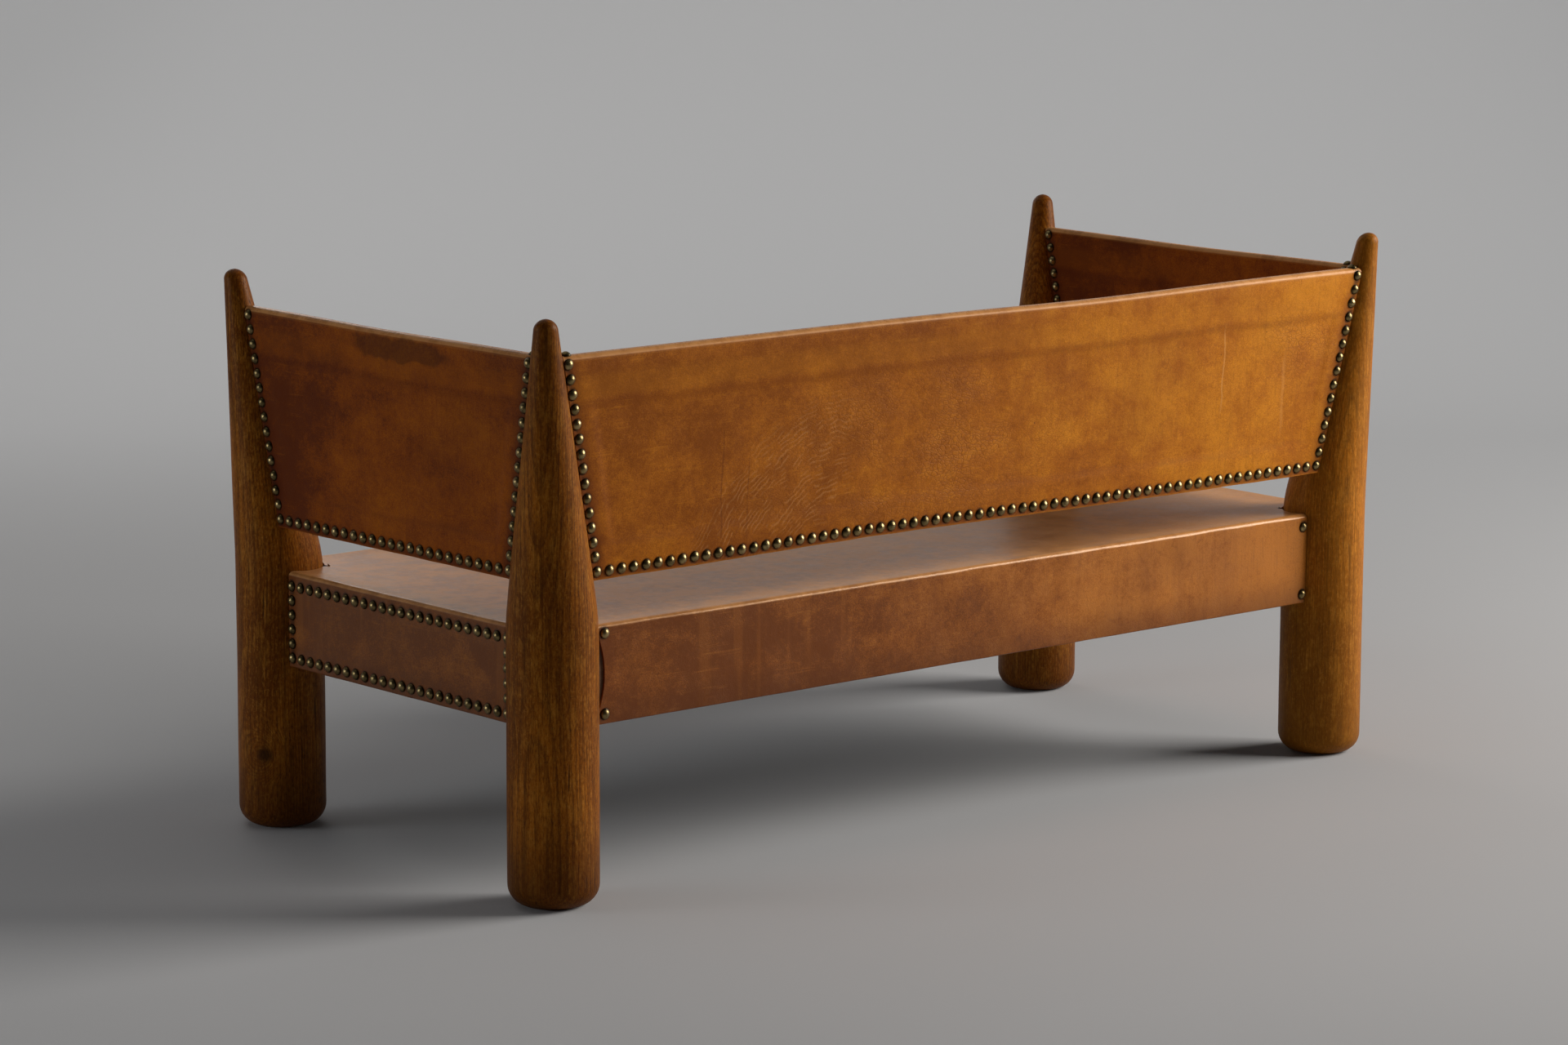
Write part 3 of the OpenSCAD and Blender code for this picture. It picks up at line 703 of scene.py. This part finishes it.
# Painted light and shade: the back left leg's oak is taken paler and the other legs' darker, by how
# brightly each is lit.
OAK_PAINTED_SHADE, OAK_PAINTED_LIGHT = rgb(72, 36, 9), rgb(232, 152, 46)
leg_points, leg_faces = [], []
for name, sx, sy, pith_turn, pith_far, shade, share, knot in [
    ("leg_front_left", -1, -1, 20, 0.095, OAK_PAINTED_SHADE, 0.22, None),
    ("leg_front_right", 1, -1, 160, 0.085, OAK_PAINTED_SHADE, 0.10, KNOT),
    ("leg_back_left", -1, 1, 75, 0.120, OAK_PAINTED_LIGHT, 0.18, None),
    ("leg_back_right", 1, 1, 215, 0.075, OAK_PAINTED_SHADE, 0.16, None),
]:
    pith = (
        sx * half_x + pith_far * math.cos(math.radians(pith_turn)),
        sy * half_y + pith_far * math.sin(math.radians(pith_turn)),
    )
    oak = oak_finish(name + "_oak", pith, shade, share, knot)
    points, faces = build_leg(name, sx, sy, pith_turn / 10, oak)
    leg_faces += [tuple(i + len(leg_points) for i in face) for face in faces]
    leg_points += points
legs = BVHTree.FromPolygons(leg_points, leg_faces)


def reach(start, way, gap):
    """How far it is from a point to the leg that lies that way, less a gap."""
    hit = legs.ray_cast(Vector(start), Vector(way))
    if hit[0] is None:
        raise ValueError(f"no leg lies {way} of {start}")
    return hit[3] - gap


# Nails


def nail_shape():
    """Points and faces of a domed nail with its shank, its head standing on z = 0."""
    dome = (NAIL_R**2 + NAIL_H**2) / (2 * NAIL_H)
    widest = math.asin(NAIL_R / dome)
    under = [(SHANK_R, -0.7 * SHANK_L), (SHANK_R, 0.0), (0.80 * NAIL_R, 0.0), (0.98 * NAIL_R, 0.0)]
    head = [
        (dome * math.sin(a), NAIL_H - dome + dome * math.cos(a))
        for a in np.linspace(widest, widest / 6, 6)
    ]
    points = [(0.0, 0.0, -SHANK_L)]
    for r, z in under + head:
        for j in range(NAIL_RIM):
            a = 2 * math.pi * j / NAIL_RIM
            points.append((r * math.cos(a), r * math.sin(a), z))
    points.append((0.0, 0.0, NAIL_H))
    return points, capped_faces(len(under + head), NAIL_RIM, 1, 0, len(points) - 1)


NAIL_POINTS, NAIL_FACES = nail_shape()
chance = np.random.default_rng(20)


def nail_tops(node, back, axis, side):
    """Tops of a node's CAD nails that stand on the side of a face, across its other two axes."""
    points = np.array([back @ v.co for v in cad[node].data.vertices])
    height = side * points[:, axis]
    left = np.delete(points[height > height.max() - 0.0004], axis, 1)
    found = []
    while len(left):
        near = np.linalg.norm(left - left[0], axis=1) < NAIL_R
        found.append((left[near].min(0) + left[near].max(0)) / 2)
        left = left[~near]
    return np.array(found)


def drive_nails(node, places):
    """One piece of nails in place of a CAD node. A place is a point and the way the head faces."""
    points, faces, tones, heights = [], [], [], []
    for point, way in places:
        turn = Vector(way).to_track_quat("Z", "Y").to_matrix()
        tilt = Matrix.Rotation(math.radians(chance.normal(0, NAIL_TILT)), 3, "X")
        spin = Matrix.Rotation(chance.uniform(0, 2 * math.pi), 3, "Z")
        moved = (spin @ tilt) * chance.uniform(*NAIL_SWELL)
        faces += [tuple(i + len(points) for i in face) for face in NAIL_FACES]
        points += [Vector(point) + turn @ moved @ Vector(p) for p in NAIL_POINTS]
        tones += [chance.uniform(0, 1)] * len(NAIL_POINTS)
        heights += [max(0.0, p[2] / NAIL_H) for p in NAIL_POINTS]
    nails = new_piece(node + "_domes", points, faces, brass)
    keep_values(nails, "nail_tone", tones)
    keep_values(nails, "dome", heights)
    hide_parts(node)


def nearest_nail(points, nails):
    """How far each point is from the middle of the nearest nail."""
    near = np.full(points.shape[:-1], 1.0)
    for nail in nails:
        near = np.minimum(near, np.linalg.norm(points - nail, axis=-1))
    return near


# Panels


def hump(u, bow):
    """How far an edge strays at u, for a bow of that amount round a middle."""
    amount, middle, width = bow
    return amount * math.exp(-(((u - middle) / width) ** 2))


class Panel:
    """A leather panel. In its own frame u runs along it, w points outward and v up its slope."""

    def __init__(self, name, turn, out, lean, dip, rise):
        self.name, self.dip, self.rise = name, dip, rise
        self.place = (
            Matrix.Rotation(math.radians(turn), 4, "Z")
            @ Matrix.Translation((0, out - PANEL_T / 2, PANEL_BOTTOM))
            @ Matrix.Rotation(math.radians(-lean), 4, "X")
        )
        self.back = self.place.inverted()
        self.known = {}

    def edge(self, side, w, v):
        """How far along the panel a leg cuts it off, at the end that side names."""
        key = (side, round(w, 5), round(v, 5))
        if key not in self.known:
            start = self.place @ Vector((0, w, v))
            self.known[key] = reach(start, self.place.to_3x3() @ Vector((side, 0, 0)), SCRIBE_GAP)
        return self.known[key]

    def world(self, u, w, v):
        """A point of the panel, moved by the dip of its top edge and the rise of its foot."""
        share = min(max(v / PANEL_H, 0), 1)
        return self.place @ Vector((u, w, v + hump(u, self.rise) * (1 - share) - hump(u, self.dip) * share))

    def way(self, w, v):
        return self.place.to_3x3() @ Vector((0, w, v))


def panel_profile(steps):
    """Points (w, v) and normals across a folded skin, from the outer foot over the top."""
    top = PANEL_H - PANEL_EDGE_R
    half = [(PANEL_T / 2, v, 1, 0) for v in [0, 0.0012, 0.0028, *np.linspace(0.0052, top, steps)]]
    for a in np.radians([15, 30, 45, 60, 75, 90]):
        half.append((
            PANEL_T / 2 - PANEL_EDGE_R + PANEL_EDGE_R * math.cos(a),
            top + PANEL_EDGE_R * math.sin(a), math.cos(a), math.sin(a),
        ))
    return half + [(0, PANEL_H, 0, 1)] + [(-w, v, -nw, nv) for w, v, nw, nv in half[::-1]]


def relief(u, v, side, near, seed):
    """How far a panel's skin stands out from its flat face."""
    window = (
        smooth(BOTTOM_RAIL_H - 0.004, BOTTOM_RAIL_H + 0.007, v)
        * smooth(TOP_RAIL_H - 0.004, TOP_RAIL_H + 0.007, PANEL_H - v)
        * smooth(STILE_W - 0.004, STILE_W + 0.010, side)
    )
    puffed = SKIN_PUFF * smooth(*DIMPLE, near)
    loose = SKIN_WAVE[0] * window * wave(u, v, SKIN_WAVE[1], seed)
    loose = loose + SKIN_RIPPLE[0] * wave(u, v, SKIN_RIPPLE[1], seed + 4)
    calm = smooth(0, 0.012, PANEL_H - PANEL_EDGE_R - v)
    return (puffed - SKIN_SINK * window + loose) * calm


def build_panel(panel, hide, columns, steps):
    profile = panel_profile(steps)
    inner, outer = panel.name + "_nails_inside", panel.name + "_nails_outside"
    nails = {1: nail_tops(outer, panel.back, 1, 1), -1: nail_tops(inner, panel.back, 1, -1)}
    half = panel.edge(1, 0, 0)
    fine = 1 - np.array([0.0, 0.0015, 0.0035, 0.006]) / half
    share = np.concatenate([-fine, np.linspace(-1, 1, columns) * (1 - 0.010 / half), fine[::-1]])
    edge = np.array([[panel.edge(1 if t > 0 else -1, w, v) for t in share] for w, v, _, _ in profile])
    u = edge * share
    v = np.array([[p[1]] * len(share) for p in profile])
    front = np.array([p[0] > 0 for p in profile])
    out, near = np.zeros(u.shape), np.ones(u.shape)
    for rows, face, seed in ((front, 1, 3.1), (~front, -1, 8.7)):
        near[rows] = nearest_nail(np.stack([u[rows], v[rows]], -1), nails[face])
        out[rows] = relief(u[rows], v[rows], edge[rows] - np.abs(u[rows]), near[rows], seed)
    foot = SKIN_FOOT_WAVE[0] * wave(u, 0 * u, SKIN_FOOT_WAVE[1], 5.5) * smooth(0.012, 0, v)
    points = [
        panel.world(u[i, j], w + nw * out[i, j], level + nv * out[i, j] + foot[i, j])
        for i, (w, level, nw, nv) in enumerate(profile)
        for j in range(len(share))
    ]
    faces = turned(grid_faces(len(profile), len(share)))
    skin = new_piece(panel.name + "_skin", points, faces, hide)
    keep_values(skin, "side", edge - np.abs(u))
    keep_values(skin, "up", v)
    keep_values(skin, "nail", near)
    keep_values(skin, "inside", np.broadcast_to(~front[:, None], u.shape))
    thicken(skin, SKIN_T)
    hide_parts(panel.name + "_leather")
    2 * panel.edge(1, 0, PANEL_H)
    for node, face in ((outer, 1), (inner, -1)):
        drive_nails(node, panel_places(panel, node, nails[face], face))


def panel_places(panel, node, found, face):
    """Where a panel's nails go: on its face, and the ones in its top edge."""
    places = []
    for u, v in found:
        u += chance.normal(0, NAIL_STRAY)
        v += chance.normal(0, NAIL_STRAY)
        places.append((panel.world(u, face * PANEL_T / 2, v), panel.way(face, 0)))
    high = nail_tops(node, panel.back, 2, 1)
    for u, w in high:
        if abs(w) < PANEL_T / 4:
            places.append((panel.world(u, w, PANEL_H), panel.way(0, 1)))
    return places


def bowed_rail(panel, node):
    """A copy of a rail, sliced along its length so that it follows the bow of the leather."""
    mesh = bpy.data.meshes.new(node + "_bowed")
    cut = bmesh.new()
    cut.from_mesh(cad[node].data)
    cut.transform(panel.back)
    low = min(v.co.x for v in cut.verts)
    high = max(v.co.x for v in cut.verts)
    for u in np.linspace(low, high, RAIL_SLICES)[1:-1]:
        geom = list(cut.verts) + list(cut.edges) + list(cut.faces)
        bmesh.ops.bisect_plane(cut, geom=geom, plane_co=(u, 0, 0), plane_no=(1, 0, 0), dist=1e-6)
    for v in cut.verts:
        v.co = panel.world(*v.co)
    cut.to_mesh(mesh)
    cut.free()
    mesh.materials.clear()
    mesh.materials.append(frame_wood)
    rail = riding(node + "_bowed", mesh)
    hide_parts(node)


for panel, hide, columns in (
    (Panel("back", 0, half_y + BACK_OUT, BACK_LEAN, BACK_DIP, BACK_RISE), panel_hide, 310),
    (Panel("right", -90, half_x + END_OUT, END_LEAN, END_DIP, END_RISE), end_hide, 150),
    (Panel("left", 90, half_x + END_OUT, END_LEAN, END_DIP, END_RISE), end_hide, 150),
):
    build_panel(panel, hide, columns, PANEL_ROWS)
    for rail in ("_top_rail", "_bottom_rail"):
        bowed_rail(panel, panel.name + rail)


# Seat


def sag(x, y):
    """How far the deck dips at a point."""
    return SEAT_SAG * np.clip(1 - (x / face_x) ** 2, 0, 1) * np.clip(1 - (y / face_y) ** 2, 0, 1)


def folds(r_top, drop=0, r_low=0, under=0, steps=0):
    """Rows of a flap: how far out and down each lies past the start of its bend, and its normal."""
    rows = [
        (r_top * math.sin(a), r_top * (1 - math.cos(a)), math.sin(a), math.cos(a))
        for a in np.radians(np.linspace(15, 90, 6))
    ]
    if not drop:
        return rows
    foot = r_top + drop
    rows += [(r_top, r_top + d, 1, 0) for d in np.linspace(0, drop, steps)[1:]]
    rows += [
        (r_top - r_low * (1 - math.cos(a)), foot + r_low * math.sin(a), math.cos(a), -math.sin(a))
        for a in np.radians([22, 45, 68, 90])
    ]
    rows += [(r_top - r_low - d, foot + r_low, 0, -1) for d in np.linspace(0, under, 6)[1:]]
    return rows


def seat_layer(level, inset, gap, rows, grid_size):
    """A sheet over the seat, notched for the legs, as points, normals and faces.

    A rectangle reaches to the corners of the notches. From its long and its short sides flaps run
    on to the faces, and down them where rows are given.
    """
    notch = leg_r + gap
    corner = notch * math.sqrt(0.5)
    cx, cy = half_x - corner, half_y - corner
    end_x, end_y = face_x - inset, face_y - inset
    bend = rows[5][0] if rows else 0.0
    fine = np.array([0.0, 0.0012, 0.0026, 0.0044, 0.007])
    coarse = 0.011
    tx, ty = (
        np.concatenate([-c + fine, np.linspace(-c + coarse, c - coarse, count), c - fine[::-1]]) / c
        for c, count in zip((cx, cy), grid_size)
    )
    points, normals, faces = [], [], []

    def add_grid(grid, grid_normals, flip):
        start = len(points)
        count = grid.shape[1]
        points.extend(grid.reshape(-1, 3))
        normals.extend(grid_normals.reshape(-1, 3))
        made = grid_faces(grid.shape[0], count, start)
        faces.extend(turned(made) if flip else made)

    x, y = np.meshgrid(tx * cx, ty * cy)
    top = np.zeros((*x.shape, 3))
    top[..., 0], top[..., 1], top[..., 2] = x, y, level
    up = np.zeros_like(top)
    up[..., 2] = 1
    add_grid(top, up, False)
    for along, other, t, c, end, mid, mid_other in (
        (0, 1, tx, cy, end_y, half_y, half_x), (1, 0, ty, cx, end_x, half_x, half_y),
    ):
        flat = np.concatenate([c + fine, np.linspace(c + coarse, end - bend, 9)])
        lines = [(d, 0.0, 0.0, 1.0) for d in flat] + [
            (end - bend + out, down, nx, nz) for out, down, nx, nz in rows
        ]
        for side in (1, -1):
            grid = np.zeros((len(lines), len(t), 3))
            ways = np.zeros_like(grid)
            for i, (d, down, n_out, n_up) in enumerate(lines):
                extent = mid_other - math.sqrt(max(0, notch**2 - (d - mid) ** 2))
                grid[i, :, along] = t * extent
                grid[i, :, other] = side * d
                grid[i, :, 2] = level - down
                ways[i, :, other] = side * n_out
                ways[i, :, 2] = n_up
            add_grid(grid, ways, (side == 1) == (along == 1))
    return np.array(points), np.array(normals), faces


def merge_close(obj):
    """Joins the points that neighbouring parts of a sheet share."""
    mesh = bmesh.new()
    mesh.from_mesh(obj.data)
    bmesh.ops.remove_doubles(mesh, verts=mesh.verts, dist=1e-5)
    mesh.to_mesh(obj.data)
    mesh.free()


def seat_piece(name, level, inset, gap, rows, grid_size, thickness, finish, shape=None):
    points, normals, faces = seat_layer(level, inset, gap, rows, grid_size)
    near = np.ones(len(points))
    if shape:
        points, near = shape(points, normals)
    points[:, 2] -= sag(points[:, 0], points[:, 1]) * (normals[:, 2] > 0.2)
    piece = new_piece(name, points, faces, finish)
    if shape:
        keep_values(piece, "nail", near)
    merge_close(piece)
    thicken(piece, thickness, 0.0004)
    return piece


def seat_nail_places():
    """Each node of seat nails with its places: tops of the heads on their faces."""
    level = Matrix.Identity(4)
    found = {}
    for node, side in (("seat_nails_right", 1), ("seat_nails_left", -1)):
        found[node] = [
            ((side * face_x, y, z), (side, 0, 0)) for y, z in nail_tops(node, level, 0, side)
        ]
    found["seat_corner_nails"] = corners = []
    for side in (1, -1):
        for x, z in nail_tops("seat_corner_nails", level, 1, side):
            if side > 0 and x > 0:
                x -= CORNER_MOVE[0]
                z += CORNER_MOVE[1] if z > (seat_top + seat_bottom) / 2 else 0.0
            corners.append(((x, side * face_y, z), (0, side, 0)))
    return found


seat_nails = seat_nail_places()


def shape_hide(points, normals):
    """Works the seat hide: dimples at its nails, relief holes, a raised edge, and its worn ends."""
    heads = np.array([place for places in seat_nails.values() for place, _ in places])
    near = nearest_nail(points, heads)
    steep = np.abs(normals[:, 2]) < 0.5
    out = HIDE_DIMPLE * (smooth(*DIMPLE, near) - 1) * steep
    ripple = wave(points[:, 0] + points[:, 1], points[:, 2], HIDE_WAVE[1], 2.2)
    out = out + HIDE_WAVE[0] * ripple * steep * smooth(0.006, 0.02, near)
    out = out + DECK_WAVE[0] * wave(points[:, 0], points[:, 1], DECK_WAVE[1], 6.1) * ~steep
    points = points + normals * out[:, None]
    corner = (leg_r + NOTCH_GAP) * math.sqrt(0.5)
    for sx in (-1, 1):
        for sy in (-1, 1):
            tip = np.array([sx * (half_x - corner), sy * (half_y - corner)])
            far = np.linalg.norm(points[:, :2] - tip, axis=1)
            # The relief holes count as nails here, so the painted shade ring round the nails darkens them
            # too.
            near = np.where(normals[:, 2] > 0.9, np.minimum(near, far + 0.0022), near)
            pull = RELIEF_DEPTH * np.exp(-((far / RELIEF_W) ** 2)) * (normals[:, 2] > 0.9)
            points[:, 0] -= sx * pull * math.sqrt(0.5)
            points[:, 1] -= sy * pull * math.sqrt(0.5)
    beyond = np.minimum(face_x - np.abs(points[:, 0]), face_y - np.abs(points[:, 1]))
    lip = SEAT_LIP[0] * np.exp(-((np.maximum(beyond, 0) / SEAT_LIP[1]) ** 2))
    points[:, 2] += lip * smooth(seat_top - 0.035, seat_top - 0.004, points[:, 2])
    on_face = normals[:, 1] > 0.7
    levels = [place[2] for place, _ in seat_nails["seat_corner_nails"]]
    low, high = min(levels), max(levels)
    share = np.clip((points[:, 2] - low) / (high - low), 0, 1)
    extent = half_x - math.sqrt((leg_r + NOTCH_GAP) ** 2 - (face_y - half_y) ** 2)
    close = smooth(extent - CRESCENT[1], extent, points[:, 0])
    points[:, 0] -= on_face * close * CRESCENT[0] * np.sin(math.pi * share) ** 0.8
    torn = smooth(-extent + TORN_END[1], -extent, points[:, 0])
    torn = torn * smooth(low - 0.004, seat_bottom, points[:, 2])
    points[:, 0] += on_face * torn * TORN_END[0]
    return points, near


hide_fall = seat_top - seat_bottom - HIDE_EDGE_R - HIDE_FOLD_R
hide_rows = folds(HIDE_EDGE_R, hide_fall, HIDE_FOLD_R, TURN_UNDER - HIDE_FOLD_R, 22)
hide = seat_piece(
    "seat_hide", seat_top, 0, NOTCH_GAP, hide_rows, HIDE_GRID, HIDE_T, seat_hide, shape_hide)
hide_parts("seat_leather")
for node, places in seat_nails.items():
    drive_nails(node, places)

pad_level = seat_top - HIDE_T
felt_rows = folds(SEAT_EDGE_R - HIDE_T)
felt_pad = seat_piece(
    "seat_felt", pad_level - LAYER_GAP, HIDE_T, FELT_GAP, felt_rows, CLOTH_GRID, PAD_T - 2 * LAYER_GAP,
    felt)
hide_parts("seat_pad")

inner_x, inner_y = face_x - SEAT_EDGE_R, face_y - SEAT_EDGE_R
for name, node, level, inset, thickness, cloth, slot in (
    ("seat_sacking", "seat_hessian", pad_level - PAD_T, SEAT_EDGE_R - 0.003, HESSIAN_T,
     hessian_cloth, "jute"),
    ("seat_dust_cloth", "bottoming_cloth", seat_bottom - LAYER_GAP, SEAT_EDGE_R + 0.002, BOTTOMING_T,
     dust_cloth, "bottoming"),
):
    lining = seat_piece(name, level, inset, CLOTH_GAP, [], CLOTH_GRID, thickness, cloth)
    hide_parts(node)


def strip_places(half):
    """Middles of the webbing strips that fit between two legs."""
    room = half - leg_r - WEBBING_W / 2 - 0.001
    count = math.floor(2 * room / WEBBING_PITCH)
    return [(i - count / 2) * WEBBING_PITCH for i in range(count + 1)]


def weave_webbing(name, node, places, crossings, reach_out, first, lengthwise):
    """Strips of webbing that pass over and under the strips that cross them."""
    points, faces, values = [], [], []
    middle = seat_top - HIDE_T - PAD_T - HESSIAN_T - WEBBING_T / 2
    ribbon = np.linspace(-1, 1, 9)
    for number, place in enumerate(places):
        start = len(points)
        line = np.linspace(-reach_out, reach_out, round(2 * reach_out / STRIP_STEP))
        for s in line:
            near = min(range(len(crossings)), key=lambda i: abs(crossings[i] - s))
            turn = 1 if (near + number + first) % 2 == 0 else -1
            off = s - crossings[near]
            height = 0
            if abs(off) < WEBBING_PITCH / 2:
                height = turn * WEBBING_T * STRIP_LIFT * math.cos(math.pi * off / WEBBING_PITCH) ** 2
            for t in ribbon:
                side = place + t * WEBBING_W / 2
                x, y = (s, side) if lengthwise else (side, s)
                points.append((x, y, middle + height - float(sag(x, y)) + WEBBING_T * 0.35))
                values.append(abs(t))
        made = grid_faces(len(line), len(ribbon), start)
        faces += turned(made) if lengthwise else made
    strips = new_piece(name, points, faces, jute)
    keep_values(strips, "across", values)
    thicken(strips, WEBBING_T * 0.7, 0.0002)
    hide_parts(node)


long_strips, cross_strips = strip_places(half_y), strip_places(half_x)
weave_webbing("webbing_long", "webbing_lengthwise", long_strips, cross_strips, inner_x - HIDE_T, 0, True)
weave_webbing("webbing_cross", "webbing_crosswise", cross_strips, long_strips, inner_y - HIDE_T, 1, False)

for node in cad.values():
    if not node.hide_render:
        node.data.materials.clear()
        node.data.materials.append(frame_wood)

# Camera

yaw, pitch, roll = (math.radians(a) for a in (CAMERA_YAW, CAMERA_PITCH, CAMERA_ROLL))
ahead = Vector((-math.sin(yaw) * math.cos(pitch), -math.cos(yaw) * math.cos(pitch), -math.sin(pitch)))
level_right = ahead.cross(Vector((0, 0, 1))).normalized()
level_up = level_right.cross(ahead)
right = level_right * math.cos(roll) + level_up * math.sin(roll)
up = level_up * math.cos(roll) - level_right * math.sin(roll)
lens = bpy.data.cameras.new("camera")
lens.lens = CAMERA_LENS
lens.sensor_width = 36
lens.sensor_fit = "HORIZONTAL"
camera = placed("camera", lens)
camera.matrix_world = Matrix.Translation(CAMERA_PLACE) @ Matrix((right, up, -ahead)).transposed().to_4x4()
bpy.context.scene.camera = camera

# Studio

FLOOR_REACH = 40.0
COVE_START = 3.2
COVE_R = 1.6
WALL_TOP = 7.0
WALL_GLOW = 0.24
FAR_GLOW = 0.36
KEY_SPOT = (-2.7, 1.7, 0.0)
KEY_POWER = 139
TOP_POWER = 13
FILL_POWER = 12.5
FRONT_POWER = 10
WORLD_LIGHT = 0.02


def backdrop_finish():
    """Pale grey paint, for the camera and reflections evenly lit behind the settee, by Light Path.

    On the other sides the camera sees the floor paler further off, except round the key lamp's spot.
    From behind and from below it is clear, so that it hides the settee from no side.
    """
    f = Finish("backdrop_paint", Roughness=0.85, Specular_IOR_Level=0.2)
    across = f.axis(0)
    f.color = f.mixed(f.band(across, -1.3, 1.1), rgb(186, 186, 187), rgb(214, 214, 215))
    far = f.vector("DOT_PRODUCT", f.spot, (ahead.x, ahead.y, 0.3))
    glow = f.band(far, 0.6, 4.6, 0.0, WALL_GLOW)
    path = f.node("LightPath", {})
    seen = f.sum("MAXIMUM", path.outputs["Is Camera Ray"], path.outputs["Is Glossy Ray"])
    f.shader.inputs["Emission Color"].default_value = (1, 1, 1, 1)
    round_about = f.vector("LENGTH", f.spot)
    aside = f.fall(f.sum("DIVIDE", far, round_about), 0.45, 0.80)
    pale = f.times(f.band(round_about, 1.7, 4.6, 0.0, FAR_GLOW), aside)
    lit = f.vector("DISTANCE", f.spot, KEY_SPOT)
    pale = f.times(pale, f.band(lit, 0.9, 2.3))
    pale = f.times(pale, path.outputs["Is Camera Ray"])
    f.set(Emission_Strength=f.sum("MAXIMUM", f.times(glow, seen), pale))
    behind = f.node("NewGeometry", {}).outputs["Backfacing"]
    clear = f.node("BsdfTransparent", {}).outputs[0]
    either = f.node("MixShader", {0: behind, 1: f.shader.outputs[0], 2: clear}).outputs[0]
    f.tree.links.new(either, f.tree.nodes["Material Output"].inputs["Surface"])
    return f.material


def studio_floor():
    """A floor that curves up into a backdrop behind the settee, as seen from the camera."""
    away = Vector((ahead.x, ahead.y)).normalized()
    side = Vector((-away.y, away.x))
    profile = [(-FLOOR_REACH, 0.0), (COVE_START, 0.0)]
    profile += [
        (COVE_START + COVE_R * math.sin(a), COVE_R * (1 - math.cos(a)))
        for a in np.radians(np.linspace(6, 90, 15))
    ]
    profile += [(COVE_START + COVE_R, WALL_TOP)]
    points = [(*(away * d + side * w), z) for d, z in profile for w in (-FLOOR_REACH, FLOOR_REACH)]
    faces = turned(grid_faces(len(profile), 2))
    mesh = smooth_mesh("studio_floor", points, faces, backdrop_finish())
    placed("studio_floor", mesh)


def lamp(name, place, aim, size, power, color, spread):
    data = bpy.data.lights.new(name, "AREA")
    data.shape = "RECTANGLE"
    data.size, data.size_y = size
    data.energy = power
    data.color = color
    data.spread = math.radians(spread)
    obj = placed(name, data)
    obj.location = place
    obj.rotation_mode = "QUATERNION"
    obj.rotation_quaternion = (Vector(place) - Vector(aim)).to_track_quat("Z", "Y")


def studio_world():
    """A plain grey surround that the camera sees, and a dimmer one that lights the settee."""
    world = bpy.data.worlds.new("world")
    bpy.context.scene.world = world
    world.use_nodes = True
    tree = world.node_tree
    dim = tree.nodes["Background"]
    dim.inputs["Color"].default_value = (0.95, 0.98, 1.0, 1)
    dim.inputs["Strength"].default_value = WORLD_LIGHT
    seen = tree.nodes.new("ShaderNodeBackground")
    seen.inputs["Color"].default_value = (0.38, 0.38, 0.385, 1)
    path = tree.nodes.new("ShaderNodeLightPath")
    mixed = tree.nodes.new("ShaderNodeMixShader")
    tree.links.new(path.outputs["Is Camera Ray"], mixed.inputs["Fac"])
    tree.links.new(dim.outputs[0], mixed.inputs[1])
    tree.links.new(seen.outputs[0], mixed.inputs[2])
    tree.links.new(mixed.outputs[0], tree.nodes["World Output"].inputs["Surface"])


studio_floor()
studio_world()
lamp("key", (-3.5, 2.15, 2.0), (0.2, 0.1, 0.3), (2.6, 2.2), KEY_POWER, (1.0, 0.97, 0.93), 150)
lamp("top", (0.5, -1.0, 3.6), (0.4, 0.4, 0.0), (3.5, 3.5), TOP_POWER, (1, 1, 1), 180)
lamp("fill", (4.2, -1.9, 0.95), (0.3, 0, 0.4), (1.8, 1.4), FILL_POWER, (0.94, 0.97, 1.0), 120)
lamp("front", (-1.2, -4.4, 1.9), (0.0, 0.0, 0.3), (2.0, 1.6), FRONT_POWER, (1.0, 0.98, 0.96), 150)

bpy.context.scene.view_settings.view_transform = "Standard"
